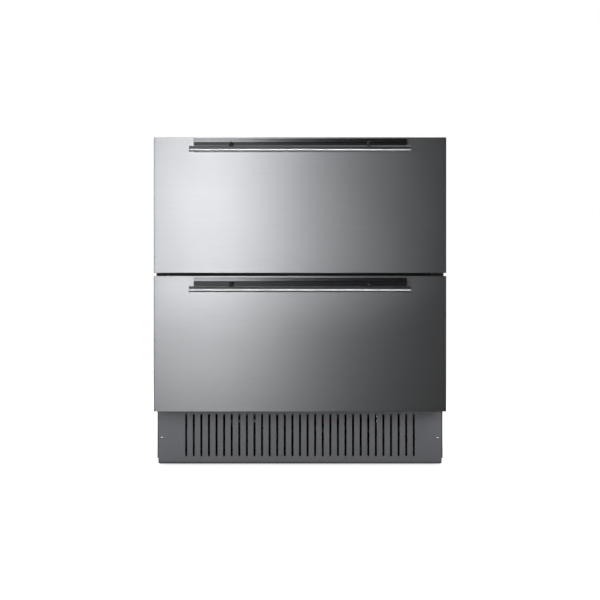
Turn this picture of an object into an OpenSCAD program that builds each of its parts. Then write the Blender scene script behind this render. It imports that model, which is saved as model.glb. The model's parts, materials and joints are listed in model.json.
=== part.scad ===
// Undercounter refrigerator with two pull-out drawers, in its separate pieces.
// Millimetres. +X is right, -Y is the front, +Z is up.
// The origin lies on the floor, below the middle of the whole outline.

/* [Overall] */
// Width across the drawer fronts
front_w = 756; // [740:2:780]
// Height from the floor to the top of the upper front
unit_h = 855; // [850:1:875]
// Depth from the face of the fronts to the back panel
unit_d = 605; // [600:1:640]
// Height of the underside of the lower front above the floor
toe_h = 147; // [145:1:155]

/* [Drawer fronts] */
// Gap between the two fronts
front_gap = 8; // [6:1:10]
// Thickness of the foamed front, without its gasket
front_t = 38; // [34:1:40]
// Radius of the upright edges of the steel skin
skin_r = 4; // [2:0.5:6]

/* [Handles] */
// Diameter of the bar
bar_d = 18; // [14:1:20]
// Length of the bar
bar_len = 565; // [480:5:640]
// Distance from the face of the front to the middle of the bar
bar_out = 45; // [42:1:52]
// Distance from the top of the front down to the middle of the bar
bar_drop = 34.5; // [32:0.5:38]
// Distance between the two posts
post_gap = 352; // [300:2:400]
// Diameter of a post
post_d = 10; // [8:0.5:11]
// Length of the dark rail that carries the posts
rail_len = 548; // [460:4:560]

/* [Kick grille] */
// Number of air slots
slot_count = 31; // [21:2:33]
// Distance between slots
slot_pitch = 20; // [16:1:20]
// Width of a slot
slot_w = 5.5; // [3:0.5:8]
// Height of a slot
slot_h = 110; // [80:1:114]
// Distance of the grille behind the face of the fronts
kick_back = 75; // [72:1:85]
// Gap between the grille and the floor
kick_gap = 3; // [2:1:10]

/* [Cabinet] */
// Thickness of the foam in the side walls
wall_foam = 42; // [38:1:48]
// Thickness of the foam behind the liner
back_foam = 48; // [40:1:55]
// Height of the mullion between the two openings
mullion_h = 40; // [38:1:46]

/* [Drawers] */
// Travel of a drawer
travel = 400; // [300:10:400]
// Height of a bin
bin_h = 235; // [180:5:240]
// Wall thickness of a bin
bin_wall = 2.5; // [2:0.1:3]

/* [Hidden] */
$fn = 48;
UPPER = 1;
LOWER = 0;
LEFT = -1;
RIGHT = 1;

// Sheet metal, liner and seals
sheet = 1;
pan_sheet = 1.5;
liner_t = 2;
seal_space = 14;

// The fronts stand at y = 0 while a piece is drawn, and the handles reach forward of them
handle_out = bar_out + bar_d / 2;
front_y = -(unit_d - handle_out) / 2;
front_h = (unit_h - toe_h - front_gap) / 2;

// Cabinet
cab_w = front_w - 4;
cab_front = front_t + seal_space;
cab_top = unit_h - 3;
flange_w = 30;
liner_x = cab_w / 2 - sheet - wall_foam;
room_x = liner_x - liner_t;
lip_x = cab_w / 2 - flange_w;
lip_h = 6;
liner_front = cab_front + liner_t;
liner_back = unit_d - 1 - back_foam;
room_back = liner_back - liner_t;
room_top = unit_h - 49;
room_low = toe_h + 39;
mullion_low = toe_h + front_h + front_gap / 2 - mullion_h / 2;
mullion_high = mullion_low + mullion_h;
mullion_d = 40;
deck_z = toe_h + 3;
step_deck_z = deck_z + 76;
step_deck_y = 428;
step_y = step_deck_y - 38;
step_z = step_deck_z + 40;
deck_y = cab_front + 48;
base_z = 18;
toe_y = kick_back + sheet;
kick_return = 9;
press_d = 4;
press_rim = 40;

// Feet
foot_x = cab_w / 2 - 46;
foot_y = [150, 560];
foot_pad_r = 20;
stem_r = 5;
stem_gap = 0.05;
boss_r = 11;
boss_h = 20;

// Telescopic slides, which lie between the liner's wall and the carriers
slide_t = 1.2;
slide_len = travel;
slide_y = cab_front + 10;
slide_drop = 30;
carrier_x = room_x - 14;

// Drawers
panel_t = 3;
panel_rim = 2;
seal_w = 12;
seal_x = lip_x + seal_w / 2 + 1;
dyke_h = 13;
dyke_w = 9;
bin_y = cab_front + 6;
bin_x = room_x - 27;
bin_draft = 8;
bin_r = 22;
bin_lip = 9;
bin_lip_h = 4;
rail_top = 4.5;
rail_out = 10;
rail_in = 7;
rail_low = 38;
post_rise = bar_d / 2 + post_d / 2 - 0.5;

// Machine space and cooling
fan_z = base_z + 66;
fan_x = -140;
fan_r = 48;
coil_y = 100;
shroud_y = 145;
shroud_t = 3;
cold_fan_z = room_top - 86;
cold_fan_r = 42;
motor_shaft_r = 2.5;
cover_y = 488;
compressor_x = 130;
compressor_y = 515;
compressor_r = 70;
stub_reach = 80;
stub_z = 84;
gland_x = 310;
gland_z = 62;
gland_r = 4.5;
cover_face = unit_d - 5;

// Controls
button_r = 4.5;
button_x = [-42, 22, 42];
button_z = cab_top - 15;
bracket_x = 320;
bracket_hole_r = 2.75;
bracket_hole_y = front_t + 9;

function front_low(drawer) = toe_h + drawer * (front_h + front_gap);
function front_high(drawer) = front_low(drawer) + front_h;
function mouth_low(drawer) = drawer == UPPER ? mullion_high : room_low;
function mouth_high(drawer) = drawer == UPPER ? room_top : mullion_low;
function seal_low(drawer) = drawer == UPPER ? mullion_high - 8 : room_low - 12;
function seal_high(drawer) = drawer == UPPER ? room_top + 13 : mullion_low + 8;
function bin_top(drawer) = mouth_high(drawer) - 31;
function bin_back(drawer) = drawer == UPPER ? cover_y - 12 : step_y - 12;
function slide_z(drawer) = bin_top(drawer) - slide_drop;
function bar_z(drawer) = front_high(drawer) - bar_drop;

// ---- Helpers ----

// Moves a piece from the working frame, whose fronts stand at y = 0, to its place
module placed() {
    translate([0, front_y, 0]) children();
}

// Extrudes an outline drawn in Y and Z along X, centred
module along_x(length) {
    rotate([90, 0, 90]) linear_extrude(length, center = true) children();
}

// Extrudes an outline drawn in X and Z backwards from y
module along_y(y, length) {
    translate([0, y + length, 0]) rotate([90, 0, 0]) linear_extrude(length) children();
}

// A rod along Y that starts at y
module rod_y(x, y, z, r, length) {
    translate([x, y, z]) rotate([-90, 0, 0]) cylinder(r = r, h = length);
}

// Both mirror images of what is drawn on the right
module both_sides() {
    children();
    mirror([1, 0, 0]) children();
}

// Rectangle with round corners from one corner point to the other
module round_box(low, high, r) {
    translate([low.x + r, low.y]) square([high.x - low.x - 2 * r, high.y - low.y]);
    translate([low.x, low.y + r]) square([high.x - low.x, high.y - low.y - 2 * r]);
    for (x = [low.x + r, high.x - r], y = [low.y + r, high.y - r]) translate([x, y]) circle(r);
}

// Upright ring of a rectangle, width w inwards
module frame_outline(half_x, low, high, w, r) {
    difference() {
        round_box([-half_x, low], [half_x, high], r);
        round_box([-half_x + w, low + w], [half_x - w, high - w], max(r - w, 1));
    }
}

// ---- Cabinet ----

module side_panel(side) {
    color("dimgray") placed() scale([side, 1, 1]) {
        translate([(cab_w - sheet) / 2, 0, 0]) along_x(sheet) polygon([
            [cab_front, deck_z - sheet], [cab_front, cab_top - sheet], [unit_d - sheet, cab_top - sheet],
            [unit_d - sheet, base_z], [toe_y, base_z], [toe_y, deck_z - sheet]
        ]);
        // Front return, which the gaskets close on
        along_y(cab_front, sheet) translate([lip_x, deck_z]) square([flange_w, cab_top - sheet - deck_z]);
        // Toe return, which carries the grille
        along_y(toe_y, sheet) translate([cab_w / 2 - 22, base_z + pan_sheet]) square([22, 110]);
    }
}

module top_panel() {
    color("dimgray") placed() {
        translate([-cab_w / 2, cab_front, cab_top - sheet]) cube([cab_w, unit_d - cab_front, sheet]);
        along_y(cab_front, sheet) translate([-lip_x, room_top + lip_h])
            square([2 * lip_x, cab_top - sheet - room_top - lip_h]);
    }
}

// Back sheet with its field pressed forwards, so that screw heads and pipes clear the wall behind
module back_panel() {
    color("gainsboro") placed() difference() {
        union() {
            along_y(unit_d - sheet, sheet)
                translate([-cab_w / 2, step_deck_z]) square([cab_w, cab_top - sheet - step_deck_z]);
            pressed_field();
        }
        translate([0, sheet, 0]) pressed_field();
    }
}

// Shallow tapered block that the field of the back sheet fills
module pressed_field() {
    low = step_deck_z + press_rim;
    high = cab_top - press_rim;
    half_x = cab_w / 2 - press_rim;
    hull() {
        along_y(unit_d - 0.1, 0.1) round_box([-half_x, low], [half_x, high], 12);
        along_y(unit_d - sheet - press_d, 0.1)
            round_box([-half_x + press_d, low + press_d], [half_x - press_d, high - press_d], 10);
    }
}

// Cover of the machine space, with two fields of air slots
module rear_cover() {
    rows = 9;
    pitch = 14;
    color("gainsboro") placed() difference() {
        union() {
            along_y(cover_face, sheet)
                translate([-cab_w / 2 + 4, base_z + 4]) square([cab_w - 8, step_deck_z - sheet - base_z - 4]);
            translate([-cab_w / 2 + 4, cover_face - 12, step_deck_z - 2 * sheet])
                cube([cab_w - 8, 12, sheet]);
        }
        for (side = [-1, 1], row = [0 : rows - 1])
            along_y(cover_face - 1, sheet + 2) translate([side * 150 - 85, base_z + 50 + row * pitch])
                square([170, 5]);
        rod_y(gland_x, cover_face - 1, gland_z, gland_r + 4, sheet + 2);
    }
}

module leg_boss(x, y) {
    translate([x, y, base_z]) cylinder(r = boss_r, h = boss_h);
}

// Folded floor pan with a threaded boss for each foot
module base_pan() {
    half_x = cab_w / 2 - sheet;
    color("silver") placed() difference() {
        union() {
            translate([-half_x, toe_y + 2 * sheet, base_z])
                cube([2 * half_x, cover_face - toe_y - 2 * sheet, pan_sheet]);
            both_sides() translate([half_x - pan_sheet, toe_y + 2 * sheet, base_z])
                cube([pan_sheet, cover_face - toe_y - 2 * sheet, 16]);
            translate([-half_x, cover_face - pan_sheet, base_z]) cube([2 * half_x, pan_sheet, 16]);
            for (x = [-foot_x, foot_x], y = foot_y) leg_boss(x, y);
        }
        for (x = [-foot_x, foot_x], y = foot_y)
            translate([x, y, base_z - 1]) cylinder(r = stem_r + stem_gap, h = boss_h + 2);
    }
}

// Levelling foot: a pad on a ball neck, a hexagon and a stem
module levelling_foot(side, y) {
    color("black") placed() translate([side * foot_x, y, 0]) {
        cylinder(r = foot_pad_r, h = 4);
        translate([0, 0, 4]) cylinder(r1 = foot_pad_r, r2 = 9, h = 5);
        translate([0, 0, 9]) cylinder(r = 9, h = 7, $fn = 6);
        translate([0, 0, 16]) cylinder(r = stem_r, h = 44);
    }
}

// Sheet over the machine space, folded up to a sill in front and stepped over the compressor
module deck_panel() {
    color("silver") placed() {
        along_x(cab_w - 2 * sheet) polygon([
            [deck_y, deck_z - sheet], [step_deck_y + sheet, deck_z - sheet],
            [step_deck_y + sheet, step_deck_z - sheet], [unit_d - 2 * sheet, step_deck_z - sheet],
            [unit_d - 2 * sheet, step_deck_z], [step_deck_y, step_deck_z], [step_deck_y, deck_z],
            [deck_y, deck_z]
        ]);
        along_x(2 * lip_x) polygon([
            [cab_front, room_low - lip_h], [cab_front, deck_z - sheet], [deck_y, deck_z - sheet],
            [deck_y, deck_z], [cab_front + sheet, deck_z], [cab_front + sheet, room_low - lip_h]
        ]);
    }
}

module liner_outline(inset) {
    polygon([
        [liner_front - 3, room_low - liner_t + inset], [liner_front - 3, room_top + liner_t - inset],
        [liner_back - inset, room_top + liner_t - inset], [liner_back - inset, step_z + inset],
        [step_y - inset, step_z + inset], [step_y - inset, room_low - liner_t + inset]
    ]);
}

// Foam of the walls, and the foam inside the mullion
module insulation() {
    front = cab_front + sheet;
    color("khaki") placed() {
        difference() {
            along_x(cab_w - 2 * sheet) polygon([
                [front, deck_z], [front, cab_top - sheet], [unit_d - sheet, cab_top - sheet],
                [unit_d - sheet, step_deck_z], [step_deck_y, step_deck_z], [step_deck_y, deck_z]
            ]);
            along_x(2 * liner_x) liner_outline(0);
            pressed_field();
            along_y(front - 1, liner_t - sheet + 1) translate([-lip_x, room_low - lip_h])
                square([2 * lip_x, room_top - room_low + 2 * lip_h]);
        }
        translate([-room_x, front, mullion_low + sheet])
            cube([2 * room_x, mullion_d - sheet, mullion_h - 2 * sheet]);
    }
}

// Moulded white tub that both drawers run in, stepped over the compressor
module inner_liner() {
    color("white") placed() {
        difference() {
            union() {
                along_x(2 * liner_x) intersection() {
                    liner_outline(0);
                    translate([cab_front, 0]) square([unit_d, unit_h]);
                }
                along_y(cab_front, liner_t) translate([-lip_x, room_low - lip_h])
                    square([2 * lip_x, room_top - room_low + 2 * lip_h]);
            }
            along_x(2 * room_x) liner_outline(liner_t);
            // Seat of the cover over the mullion
            translate([-lip_x - 1, cab_front - 1, mullion_low]) cube([2 * lip_x + 2, sheet + 1, mullion_h]);
        }
    }
}

// Steel channel that covers the rail between the two openings, and the liner's lip beside it
module mullion_cover() {
    color("dimgray") placed() difference() {
        union() {
            translate([-room_x, cab_front, mullion_low]) cube([2 * room_x, mullion_d + sheet, mullion_h]);
            translate([-lip_x + 0.5, cab_front, mullion_low]) cube([2 * lip_x - 1, sheet, mullion_h]);
        }
        translate([-room_x - 1, cab_front + sheet, mullion_low + sheet])
            cube([2 * room_x + 2, mullion_d + 1, mullion_h - 2 * sheet]);
    }
}

// Straps on the cabinet's top that are screwed up into the counter
module counter_brackets() {
    color("silver") placed() for (side = [-1, 1]) difference() {
        translate([side * bracket_x, 0, cab_top]) linear_extrude(1.5)
            round_box([-22, front_t + 4], [22, cab_front + 52], 5);
        translate([side * bracket_x, bracket_hole_y, cab_top - 1]) cylinder(r = bracket_hole_r, h = 4);
    }
}

// ---- Kick grille and fasteners ----

// Slotted sheet, folded back along its top and bottom edges
module kick_grille() {
    half_x = cab_w / 2 - 2.5;
    top = deck_z - 5;
    slot_low = kick_gap + 20.5;
    color("slategray") placed() difference() {
        union() {
            along_y(kick_back, sheet) round_box([-half_x, kick_gap], [half_x, top], 4);
            translate([-half_x + 6, kick_back, top - sheet]) cube([2 * half_x - 12, kick_return, sheet]);
            translate([-half_x + 30, kick_back, kick_gap]) cube([2 * half_x - 60, kick_return, sheet]);
        }
        for (i = [0 : slot_count - 1])
            along_y(kick_back - 1, sheet + 2)
                translate([(i - (slot_count - 1) / 2) * slot_pitch, slot_low + slot_h / 2])
                    square([slot_w, slot_h], center = true);
    }
}

// Pan-head screw that points backwards, with its head's underside at y
module screw_y(x, y, z, r) {
    translate([x, y, z]) rotate([90, 0, 0]) cylinder(r1 = r, r2 = r * 0.6, h = r * 0.7);
}

// Two screws of the grille and six of the rear cover
module panel_screws() {
    color("silver") placed() {
        for (side = [-1, 1]) screw_y(side * (cab_w / 2 - 12.5), kick_back, kick_gap + 69, 3.5);
        for (x = [-340, 0, 340], z = [base_z + 12, step_deck_z - 12])
            mirror([0, 1, 0]) screw_y(x, -cover_face - sheet, z, 3.5);
    }
}

// Rubber bush that the supply cord would leave through
module cord_gland() {
    color("black") placed() difference() {
        union() {
            rod_y(gland_x, cover_face - 4, gland_z, gland_r + 4, 8);
            rod_y(gland_x, cover_face + sheet, gland_z, gland_r + 7, 2.5);
            rod_y(gland_x, cover_face - 4, gland_z, gland_r + 6.5, 4);
        }
        rod_y(gland_x, cover_face - 5, gland_z, gland_r, 10);
    }
}

// ---- Cooling ----

// Hermetic compressor: revolved shell with a welded seam, foot plate, terminal cover and stubs
module compressor() {
    foot_z = base_z + pan_sheet + 12;
    shell_low = foot_z + 6;
    shell_h = 150;
    edge = 34;
    color("black") placed() translate([compressor_x, compressor_y, 0]) {
        translate([0, 0, shell_low]) rotate_extrude() {
            square([compressor_r - edge, shell_h]);
            translate([0, edge]) square([compressor_r, shell_h - 2 * edge]);
            for (z = [edge, shell_h - edge]) intersection() {
                translate([compressor_r - edge, z]) circle(edge);
                square([compressor_r, shell_h]);
            }
        }
        translate([0, 0, shell_low + shell_h * 0.55]) cylinder(r = compressor_r + 3, h = 5);
        translate([0, 0, foot_z]) linear_extrude(3) round_box([-85, -72], [85, 72], 14);
        translate([0, 0, foot_z]) cylinder(r = 50, h = 14);
        translate([compressor_r - 6, -28, shell_low + 40]) cube([30, 56, 62]);
        translate([0, 0, stub_z]) rotate([90, 0, 0]) cylinder(r = 5, h = stub_reach);
        translate([0, 0, stub_z + 50]) rotate([0, -90, 0]) cylinder(r = 6, h = stub_reach);
    }
}

// Rubber grommet under each corner of the compressor's foot plate
module compressor_mounts() {
    color("dimgray") placed() for (x = [-70, 70], y = [-57, 57])
        translate([compressor_x + x, compressor_y + y, base_z + pan_sheet]) {
            cylinder(r = 11, h = 4);
            translate([0, 0, 4]) cylinder(r = 8, h = 4);
            translate([0, 0, 8]) cylinder(r = 11, h = 4);
        }
}

// Tube-and-fin coil: plates along X on rows of tubes
module finned_coil(x0, x1, y0, y1, z0, z1, fins, tube_rows) {
    fin_t = 1;
    pitch = (x1 - x0 - fin_t) / (fins - 1);
    row_pitch = (z1 - z0) / tube_rows;
    for (i = [0 : fins - 1]) translate([x0 + i * pitch, y0, z0]) cube([fin_t, y1 - y0, z1 - z0]);
    for (row = [0 : tube_rows - 1])
        translate([x0 - 8, (y0 + y1) / 2, z0 + row_pitch * (row + 0.5)])
            rotate([0, 90, 0]) cylinder(r = 4, h = x1 - x0 + 16, $fn = 24);
    for (x = [x0 - 12, x1 + 4]) translate([x, y0 + 8, z0]) cube([8, y1 - y0 - 16, z1 - z0]);
}

module condenser() {
    low = base_z + pan_sheet;
    color("dimgray") placed() finned_coil(fan_x - 130, fan_x + 130, coil_y, shroud_y, low, low + 116, 27, 4);
}

module evaporator() {
    color("gainsboro") placed() finned_coil(-190, 190, room_back - 46, room_back, 560, 650, 29, 4);
}

// Plate behind the condenser with a round throat for the fan
module fan_shroud() {
    color("black") placed() difference() {
        union() {
            translate([fan_x - 138, shroud_y, base_z + pan_sheet]) cube([276, shroud_t, 122]);
            rod_y(fan_x, shroud_y, fan_z, fan_r + 6, 33);
        }
        rod_y(fan_x, shroud_y - 1, fan_z, fan_r + 3, 35);
    }
}

// Axial fan on its own hub, facing forwards, with curved blades cut from a tube wall
module axial_fan(x, y, z, r, hub_r, depth, blades) {
    blade_t = 1.6;
    curve_r = r * 0.9;
    translate([x, y, z]) rotate([-90, 0, 0]) difference() {
        union() {
            cylinder(r = hub_r, h = depth);
            for (i = [0 : blades - 1]) rotate(i * 360 / blades) intersection() {
                translate([0, -curve_r * 0.78, depth / 2 - curve_r * 0.62]) rotate([0, 90, 0]) difference() {
                    cylinder(r = curve_r + blade_t, h = r);
                    translate([0, 0, -1]) cylinder(r = curve_r, h = r + 2);
                }
                difference() {
                    cylinder(r = r, h = depth);
                    translate([0, 0, -1]) cylinder(r = hub_r - 1, h = depth + 2);
                }
            }
        }
        translate([0, 0, 3]) cylinder(r = motor_shaft_r + 0.05, h = depth);
    }
}

module condenser_fan() {
    color("white") placed() axial_fan(fan_x, 158, fan_z, fan_r, 15, 22, 6);
}

module evaporator_fan() {
    color("white") placed() axial_fan(0, 500, cold_fan_z, cold_fan_r, 13, 18, 6);
}

// Round motor with its shaft forwards and a strap across its back
module fan_motor(x, y, z, fan_back, strap_half, strap_z) {
    rod_y(x, y, z, 18, 22);
    rod_y(x, fan_back - 12, z, motor_shaft_r, y - fan_back + 12);
    translate([x - strap_half, y + 22, z - 7]) cube([2 * strap_half, 2, 14]);
    for (side = [-1, 1]) translate([x + side * (strap_half - 1) - 1, strap_z, z - 7])
        cube([2, y + 22 - strap_z, 14]);
}

module fan_motors() {
    color("dimgray") placed() {
        fan_motor(fan_x, 186, fan_z, 180, fan_r + 16, shroud_y + shroud_t);
        translate([0, 524, cold_fan_z]) {
            rod_y(0, 0, 0, 16, 20);
            rod_y(0, -16, 0, motor_shaft_r, 16);
            translate([-30, 20, -12]) cube([60, room_back - 544, 24]);
        }
    }
}

// One straight piece of tube
module tube_leg(a, b, r) {
    d = b - a;
    translate(a) rotate([0, acos(d.z / norm(d)), atan2(d.y, d.x)]) cylinder(r = r, h = norm(d), $fn = 24);
}

// Straight pieces with a ball in each bend
module tube_run(points, r) {
    for (i = [0 : len(points) - 2]) tube_leg(points[i], points[i + 1], r);
    for (i = [1 : len(points) - 2]) translate(points[i]) sphere(r = r, $fn = 24);
}

// Discharge line with the drier, and the suction line up to the deck
module refrigerant_lines() {
    drier_x = 30;
    header_x = fan_x + 130 + 12;
    discharge = [
        [compressor_x, compressor_y - stub_reach, stub_z], [compressor_x, 390, stub_z],
        [drier_x, 390, stub_z], [drier_x, 122, stub_z], [header_x, 122, stub_z]
    ];
    suction = [
        [compressor_x - stub_reach, compressor_y, stub_z + 50], [-60, compressor_y, stub_z + 50],
        [-60, compressor_y, step_deck_z - sheet]
    ];
    color("peru") placed() {
        tube_run(discharge, 3);
        tube_run(suction, 4);
        rod_y(drier_x, 170, stub_z, 9, 90);
    }
}

// Shallow tray that the melt water dries off in
module drip_tray() {
    color("dimgray") placed() difference() {
        translate([0, 0, base_z + pan_sheet]) linear_extrude(36) round_box([70, 110], [300, 372], 16);
        translate([0, 0, base_z + pan_sheet + 2]) linear_extrude(36) round_box([72, 112], [298, 370], 14);
    }
}

module control_box() {
    color("gainsboro") placed() {
        translate([-340, 408, base_z + pan_sheet]) cube([110, 124, 62]);
        translate([-343, 405, base_z + pan_sheet + 40]) cube([116, 130, 4]);
    }
}

// White cover over the evaporator, with return slots below and a round grille for the fan
module evaporator_cover() {
    half_x = room_x - 9;
    low = mullion_high - 1;
    high = room_top - 6;
    back = room_back;
    color("white") placed() difference() {
        union() {
            along_y(cover_y, liner_t) round_box([-half_x, low], [half_x, high], 10);
            along_y(cover_y, back - cover_y) difference() {
                round_box([-half_x, low], [half_x, high], 10);
                round_box([-half_x + liner_t, low + liner_t], [half_x - liner_t, high - liner_t], 8);
            }
        }
        for (i = [-10 : 10]) along_y(cover_y - 1, liner_t + 2)
            translate([i * 24, low + 34]) square([10, 36], center = true);
        for (ring = [1 : 3]) difference() {
            rod_y(0, cover_y - 1, cold_fan_z, 8 + ring * 11, liner_t + 2);
            rod_y(0, cover_y - 2, cold_fan_z, ring * 11, liner_t + 4);
            for (turn = [0 : 60 : 120])
                translate([0, cover_y, cold_fan_z]) rotate([0, turn, 0]) cube([100, 6, 4], center = true);
        }
    }
}

// ---- Controls and light ----

module control_panel() {
    color("black") placed() difference() {
        along_y(cab_front - 3, 3) round_box([-62, button_z - 9], [62, button_z + 9], 4);
        for (x = button_x) rod_y(x, cab_front - 4, button_z, button_r + 0.3, 5);
        translate([-26, cab_front - 4, button_z - 5]) cube([36, 1.8, 10]);
    }
}

module push_button(index) {
    color("silver") placed() {
        rod_y(button_x[index], cab_front - 4.5, button_z, button_r - 0.5, 0.6);
        rod_y(button_x[index], cab_front - 4, button_z, button_r, 3);
    }
}

module light_bar() {
    color("white") placed() difference() {
        translate([-160, 92, room_top - 9]) cube([320, 28, 9]);
        translate([-156, 95, room_top - 10]) cube([312, 22, 6]);
    }
}

module light_lens() {
    color("azure") placed() {
        translate([-156, 95, room_top - 9]) cube([312, 22, 3]);
    }
}

// ---- Telescopic slides ----

// Channel with its web at x, open towards dir, and a small hook on each lip
module slide_member(web_x, half_h, reach, dir, hook, drawer) {
    z = slide_z(drawer);
    along_y(slide_y, slide_len) {
        translate([min(web_x, web_x + dir * slide_t), z - half_h]) square([slide_t, 2 * half_h]);
        for (side = [-1, 1]) {
            translate([min(web_x, web_x + dir * reach), z + side * (half_h - slide_t / 2) - slide_t / 2])
                square([reach, slide_t]);
            if (hook > 0)
                translate([web_x + dir * (reach - slide_t / 2) - slide_t / 2,
                    z + side * (half_h - hook / 2) - hook / 2]) square([slide_t, hook]);
        }
    }
}

module slide_outer(drawer) {
    half_h = 22.5;
    reach = 12.4;
    hook = 5;
    color("silver") placed() both_sides() slide_member(room_x, half_h, reach, -1, hook, drawer);
}

module slide_middle(drawer) {
    half_h = 16.5;
    reach = 8.5;
    color("silver") placed() both_sides() slide_member(room_x - 3.3, half_h, reach, -1, 0, drawer);
}

module slide_inner(drawer) {
    half_h = 10.5;
    reach = 8;
    color("silver") placed() both_sides() slide_member(carrier_x, half_h, reach, 1, 0, drawer);
}

// ---- Drawers ----

// Plan of a front with its two outer upright edges rounded
module front_plan(inset) {
    half_x = front_w / 2 - inset;
    r = max(skin_r - inset, 0.5);
    translate([-half_x, inset + r]) square([2 * half_x, front_t - inset - r]);
    translate([-half_x + r, inset]) square([2 * (half_x - r), r + 1]);
    for (x = [-half_x + r, half_x - r]) translate([x, inset + r]) circle(r);
}

// Folded steel pan, closed on top and below, with a return behind each side
module front_skin(drawer) {
    low = front_low(drawer);
    color("silver") placed() difference() {
        translate([0, 0, low]) linear_extrude(front_h) front_plan(0);
        translate([0, 0, low + sheet]) linear_extrude(front_h - 2 * sheet) intersection() {
            front_plan(sheet);
            translate([-front_w, 0]) square([2 * front_w, front_t - sheet]);
        }
        translate([-front_w / 2 + 18, front_t - 2, low + 18]) cube([front_w - 36, 4, front_h - 36]);
    }
}

module front_foam(drawer) {
    low = front_low(drawer);
    color("khaki") placed() {
        translate([0, 0, low + sheet]) linear_extrude(front_h - 2 * sheet) intersection() {
            front_plan(sheet);
            translate([-front_w, 0]) square([2 * front_w, front_t - sheet]);
        }
        translate([-front_w / 2 + 18, front_t - sheet, low + 18]) cube([front_w - 36, sheet, front_h - 36]);
    }
}

// Moulded back of a front, with a raised dyke that enters the opening
module inner_panel(drawer) {
    half_x = front_w / 2 - panel_rim;
    color("white") placed() {
        along_y(front_t, panel_t)
            round_box([-half_x, front_low(drawer) + panel_rim], [half_x, front_high(drawer) - panel_rim], 6);
        along_y(front_t + panel_t, dyke_h)
            frame_outline(room_x - 2, mouth_low(drawer) + 6, mouth_high(drawer) - 6, dyke_w, 10);
    }
}

// Gasket: foot, narrow bellows and magnet strip, one round the other
module gasket(drawer) {
    back = front_t + panel_t;
    full = cab_front - back;
    low = seal_low(drawer);
    high = seal_high(drawer);
    color("gray") placed() {
        along_y(back, 3) frame_outline(seal_x + 6, low - 6, high + 6, seal_w, 5);
        along_y(back + 3, full - 7) frame_outline(seal_x + 3, low - 3, high + 3, 6, 3);
        along_y(cab_front - 4, 4) frame_outline(seal_x + 6, low - 6, high + 6, seal_w, 5);
    }
}

// Dark rail on the face of the front: a rounded lip above and a flat channel behind the bar
module handle_rail(drawer) {
    top = front_high(drawer);
    lip_r = 5;
    color("black") placed() translate([0, 0, top]) along_x(rail_len) difference() {
        union() {
            translate([-rail_out, -rail_top - lip_r * 2]) square([rail_out, lip_r]);
            translate([-rail_out + lip_r, -rail_top - lip_r * 2]) square([rail_out - lip_r, lip_r * 2]);
            translate([-rail_out + lip_r, -rail_top - lip_r]) circle(lip_r);
            translate([-rail_in, -rail_low]) square([rail_in, rail_low - rail_top - 2 * lip_r + 1]);
        }
        translate([0, -unit_h]) square([20, unit_h]);
    }
}

module handle_bar(drawer) {
    chamfer = 1.5;
    color("silver") placed() translate([0, -bar_out, bar_z(drawer)]) rotate([0, 90, 0]) {
        cylinder(d = bar_d, h = bar_len - 2 * chamfer, center = true);
        both_ends() translate([0, 0, bar_len / 2 - chamfer])
            cylinder(d1 = bar_d, d2 = bar_d - 2 * chamfer, h = chamfer);
    }
}

module both_ends() {
    children();
    mirror([0, 0, 1]) children();
}

// Post that reaches over the bar and sits on it, its underside cut to the bar
module handle_posts(drawer) {
    neck_r = 4;
    color("black") placed() translate([0, 0, bar_z(drawer)]) difference() {
        for (side = [-1, 1]) translate([side * post_gap / 2, 0, 0]) {
            rod_y(0, -bar_out - 2, post_rise, post_d / 2, bar_out + 2 - rail_in);
            translate([0, -bar_out - 2, post_rise]) sphere(d = post_d);
            translate([0, -bar_out, 0]) cylinder(r = neck_r, h = post_rise);
        }
        translate([0, -bar_out, 0]) rotate([0, 90, 0])
            cylinder(d = bar_d, h = bar_len, center = true);
    }
}

// Angle along each side of the bin, joined to the front by a flange
module carriers(drawer) {
    ledge_z = bin_top(drawer) - bin_lip_h;
    web_low = slide_z(drawer) - 22;
    start = front_t + panel_t;
    web_t = 1.5;
    color("silver") placed() both_sides() {
        translate([carrier_x - web_t, start, web_low]) cube([web_t, slide_y + slide_len - start, ledge_z - web_low]);
        translate([carrier_x - 12, start, ledge_z - web_t])
            cube([12, slide_y + slide_len - start, web_t]);
        translate([carrier_x - 22, start, web_low - 20]) cube([22, 2, ledge_z - web_low + 20]);
    }
}

// Lift-out tub with drafted walls, a rolled rim and ribs across its floor
module bin(drawer) {
    top = bin_top(drawer);
    back = bin_back(drawer);
    rib_count = 7;
    color("whitesmoke") placed() {
        difference() {
            union() {
                tub(0, bin_x, bin_y, back, top - bin_h, top);
                translate([0, 0, top - bin_lip_h]) linear_extrude(bin_lip_h)
                    round_box([-bin_x - bin_lip, bin_y - 2], [bin_x + bin_lip, back + 4], bin_r + 4);
            }
            tub(bin_wall, bin_x, bin_y, back, top - bin_h + bin_wall, top + 0.1);
        }
        for (i = [1 : rib_count])
            translate([-bin_x + 40, bin_y + 20 + (back - bin_y - 40) * i / (rib_count + 1), top - bin_h + 1])
                cube([2 * bin_x - 80, 3, bin_wall + 1]);
    }
}

// Solid of the tub, drawn in by inset on all sides and narrower at its floor
module tub(inset, half_x, front, back, low, high) {
    hull() {
        translate([0, 0, high - 0.1]) tub_slice(inset, half_x, front, back);
        translate([0, 0, low]) tub_slice(inset + bin_draft, half_x, front, back);
    }
}

module tub_slice(inset, half_x, front, back) {
    linear_extrude(0.1, $fn = 32)
        round_box([-half_x + inset, front + inset], [half_x - inset, back - inset], bin_r - inset / 2);
}

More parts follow.
